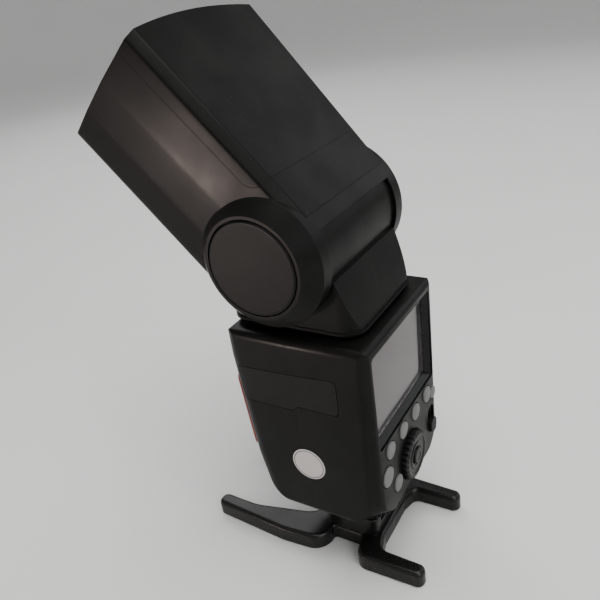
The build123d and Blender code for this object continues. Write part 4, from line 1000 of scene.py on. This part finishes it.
def camera_rotation(azimuth, elevation, roll):
    """Columns: right, up and backward, for a camera that looks down its own -Z."""
    a, e, r = (math.radians(value) for value in (azimuth, elevation, roll))
    back = Vector((math.sin(a) * math.cos(e), -math.cos(a) * math.cos(e), math.sin(e)))
    right = (-back).cross(Vector((0, 0, 1))).normalized()
    up = right.cross(-back)
    rolled_right = math.cos(r) * right + math.sin(r) * up
    rolled_up = -math.sin(r) * right + math.cos(r) * up
    return Matrix((rolled_right, rolled_up, back)).transposed(), back


def backdrop(scene):
    """Round floor that curves up all the way round into a wall: the path turned about the upright axis."""
    path = arcs([(0.0, 0.0, 0), (2.6, 0.0, 1.0), (2.6, 2.4, 0)], steps=24)
    angle = np.linspace(0, TAU, 96, endpoint=False)
    ring = np.stack([np.cos(angle), np.sin(angle), 0 * angle], axis=-1)
    mesh = skin("floor", path[:, None, :1] * ring + path[:, None, 1:] * Z_AXIS)
    mesh.shade_smooth()
    material, tree, shader = new_finish("floor_paper", Specular_IOR_Level=0.3)
    where = add_node(tree, "ShaderNodeTexCoord").outputs["Object"]
    tone = scene.flash_stage.floor_colour
    ramp = add_node(tree, "ShaderNodeValToRGB")
    ramp.color_ramp.elements[0].color = rgba(tone, 0.97)
    ramp.color_ramp.elements[1].color = rgba(tone, 1.03)
    tree.links.new(noise(tree, where, 3.0, 4.0), ramp.inputs["Fac"])
    tree.links.new(ramp.outputs["Color"], shader.inputs["Base Color"])
    fibres = noise(tree, where, 40.0, 2.0)
    tree.links.new(spread(tree, fibres, 0.3, 0.7, 0.42, 0.55), shader.inputs["Roughness"])
    mesh.materials.append(material)
    floor = bpy.data.objects.new("floor", mesh)
    scene.collection.objects.link(floor)


class FLASH_OT_stage(PieceOperator, bpy.types.Operator):
    """Pale floor, soft studio lamps and the camera"""
    bl_idname = "flash.stage"
    bl_label = "Stage"

    def make(self, scene):
        backdrop(scene)
        for row in LAMPS:
            soft_lamp(scene, *row)
        world = bpy.data.worlds.new("studio")
        world.use_nodes = True
        background = world.node_tree.nodes["Background"]
        background.inputs["Color"].default_value = (0.86, 0.87, 0.88, 1)
        background.inputs["Strength"].default_value = 0.32
        scene.world = world
        scene.view_settings.look = "AgX - Medium High Contrast"
        rotation, back = camera_rotation(*CAMERA_TURN)
        data = bpy.data.cameras.new("camera")
        data.sensor_width = 36.0
        data.lens = CAMERA_LENS
        data.clip_start = 0.01
        camera = bpy.data.objects.new("camera", data)
        scene.collection.objects.link(camera)
        place = Vector(CAMERA_TARGET) + back * CAMERA_DISTANCE
        camera.matrix_world = Matrix.Translation(place) @ rotation.to_4x4()
        scene.camera = camera


# ------------------------------------------------------------------ panel and registration
OPERATORS = (
    FLASH_OT_stand, FLASH_OT_foot, FLASH_OT_lock_ring, FLASH_OT_case, FLASH_OT_screen, FLASH_OT_keys,
    FLASH_OT_dial, FLASH_OT_switch, FLASH_OT_ports, FLASH_OT_battery, FLASH_OT_inside, FLASH_OT_neck,
    FLASH_OT_head, FLASH_OT_pivot_caps, FLASH_OT_lens, FLASH_OT_panels, FLASH_OT_zoom, FLASH_OT_label,
    FLASH_OT_stage,
)
SETTINGS = (
    ("flash_shell", FlashShellSettings), ("flash_control", FlashControlSettings),
    ("flash_screen", FlashScreenSettings), ("flash_head", FlashHeadSettings),
    ("flash_stage", FlashStageSettings),
)


class FLASH_PT_pieces(bpy.types.Panel):
    """Sidebar panel with the settings and a button for each piece"""
    bl_idname = "FLASH_PT_pieces"
    bl_label = "Speedlight flash"
    bl_space_type = "VIEW_3D"
    bl_region_type = "UI"
    bl_category = "Flash"

    def draw(self, context):
        for name, settings in SETTINGS:
            box = self.layout.box()
            for key in settings.__annotations__:
                box.prop(getattr(context.scene, name), key)
        for operator in OPERATORS:
            self.layout.operator(operator.bl_idname)


def register():
    for name, settings in SETTINGS:
        bpy.utils.register_class(settings)
        setattr(bpy.types.Scene, name, PointerProperty(type=settings))
    for operator in OPERATORS:
        bpy.utils.register_class(operator)
    bpy.utils.register_class(FLASH_PT_pieces)


def unregister():
    bpy.utils.unregister_class(FLASH_PT_pieces)
    for operator in reversed(OPERATORS):
        bpy.utils.unregister_class(operator)
    for name, settings in reversed(SETTINGS):
        delattr(bpy.types.Scene, name)
        bpy.utils.unregister_class(settings)


def main():
    """Makes every piece."""
    register()
    for operator in OPERATORS:
        getattr(bpy.ops.flash, operator.bl_idname.split(".")[1])()


if __name__ == "__main__":
    main()
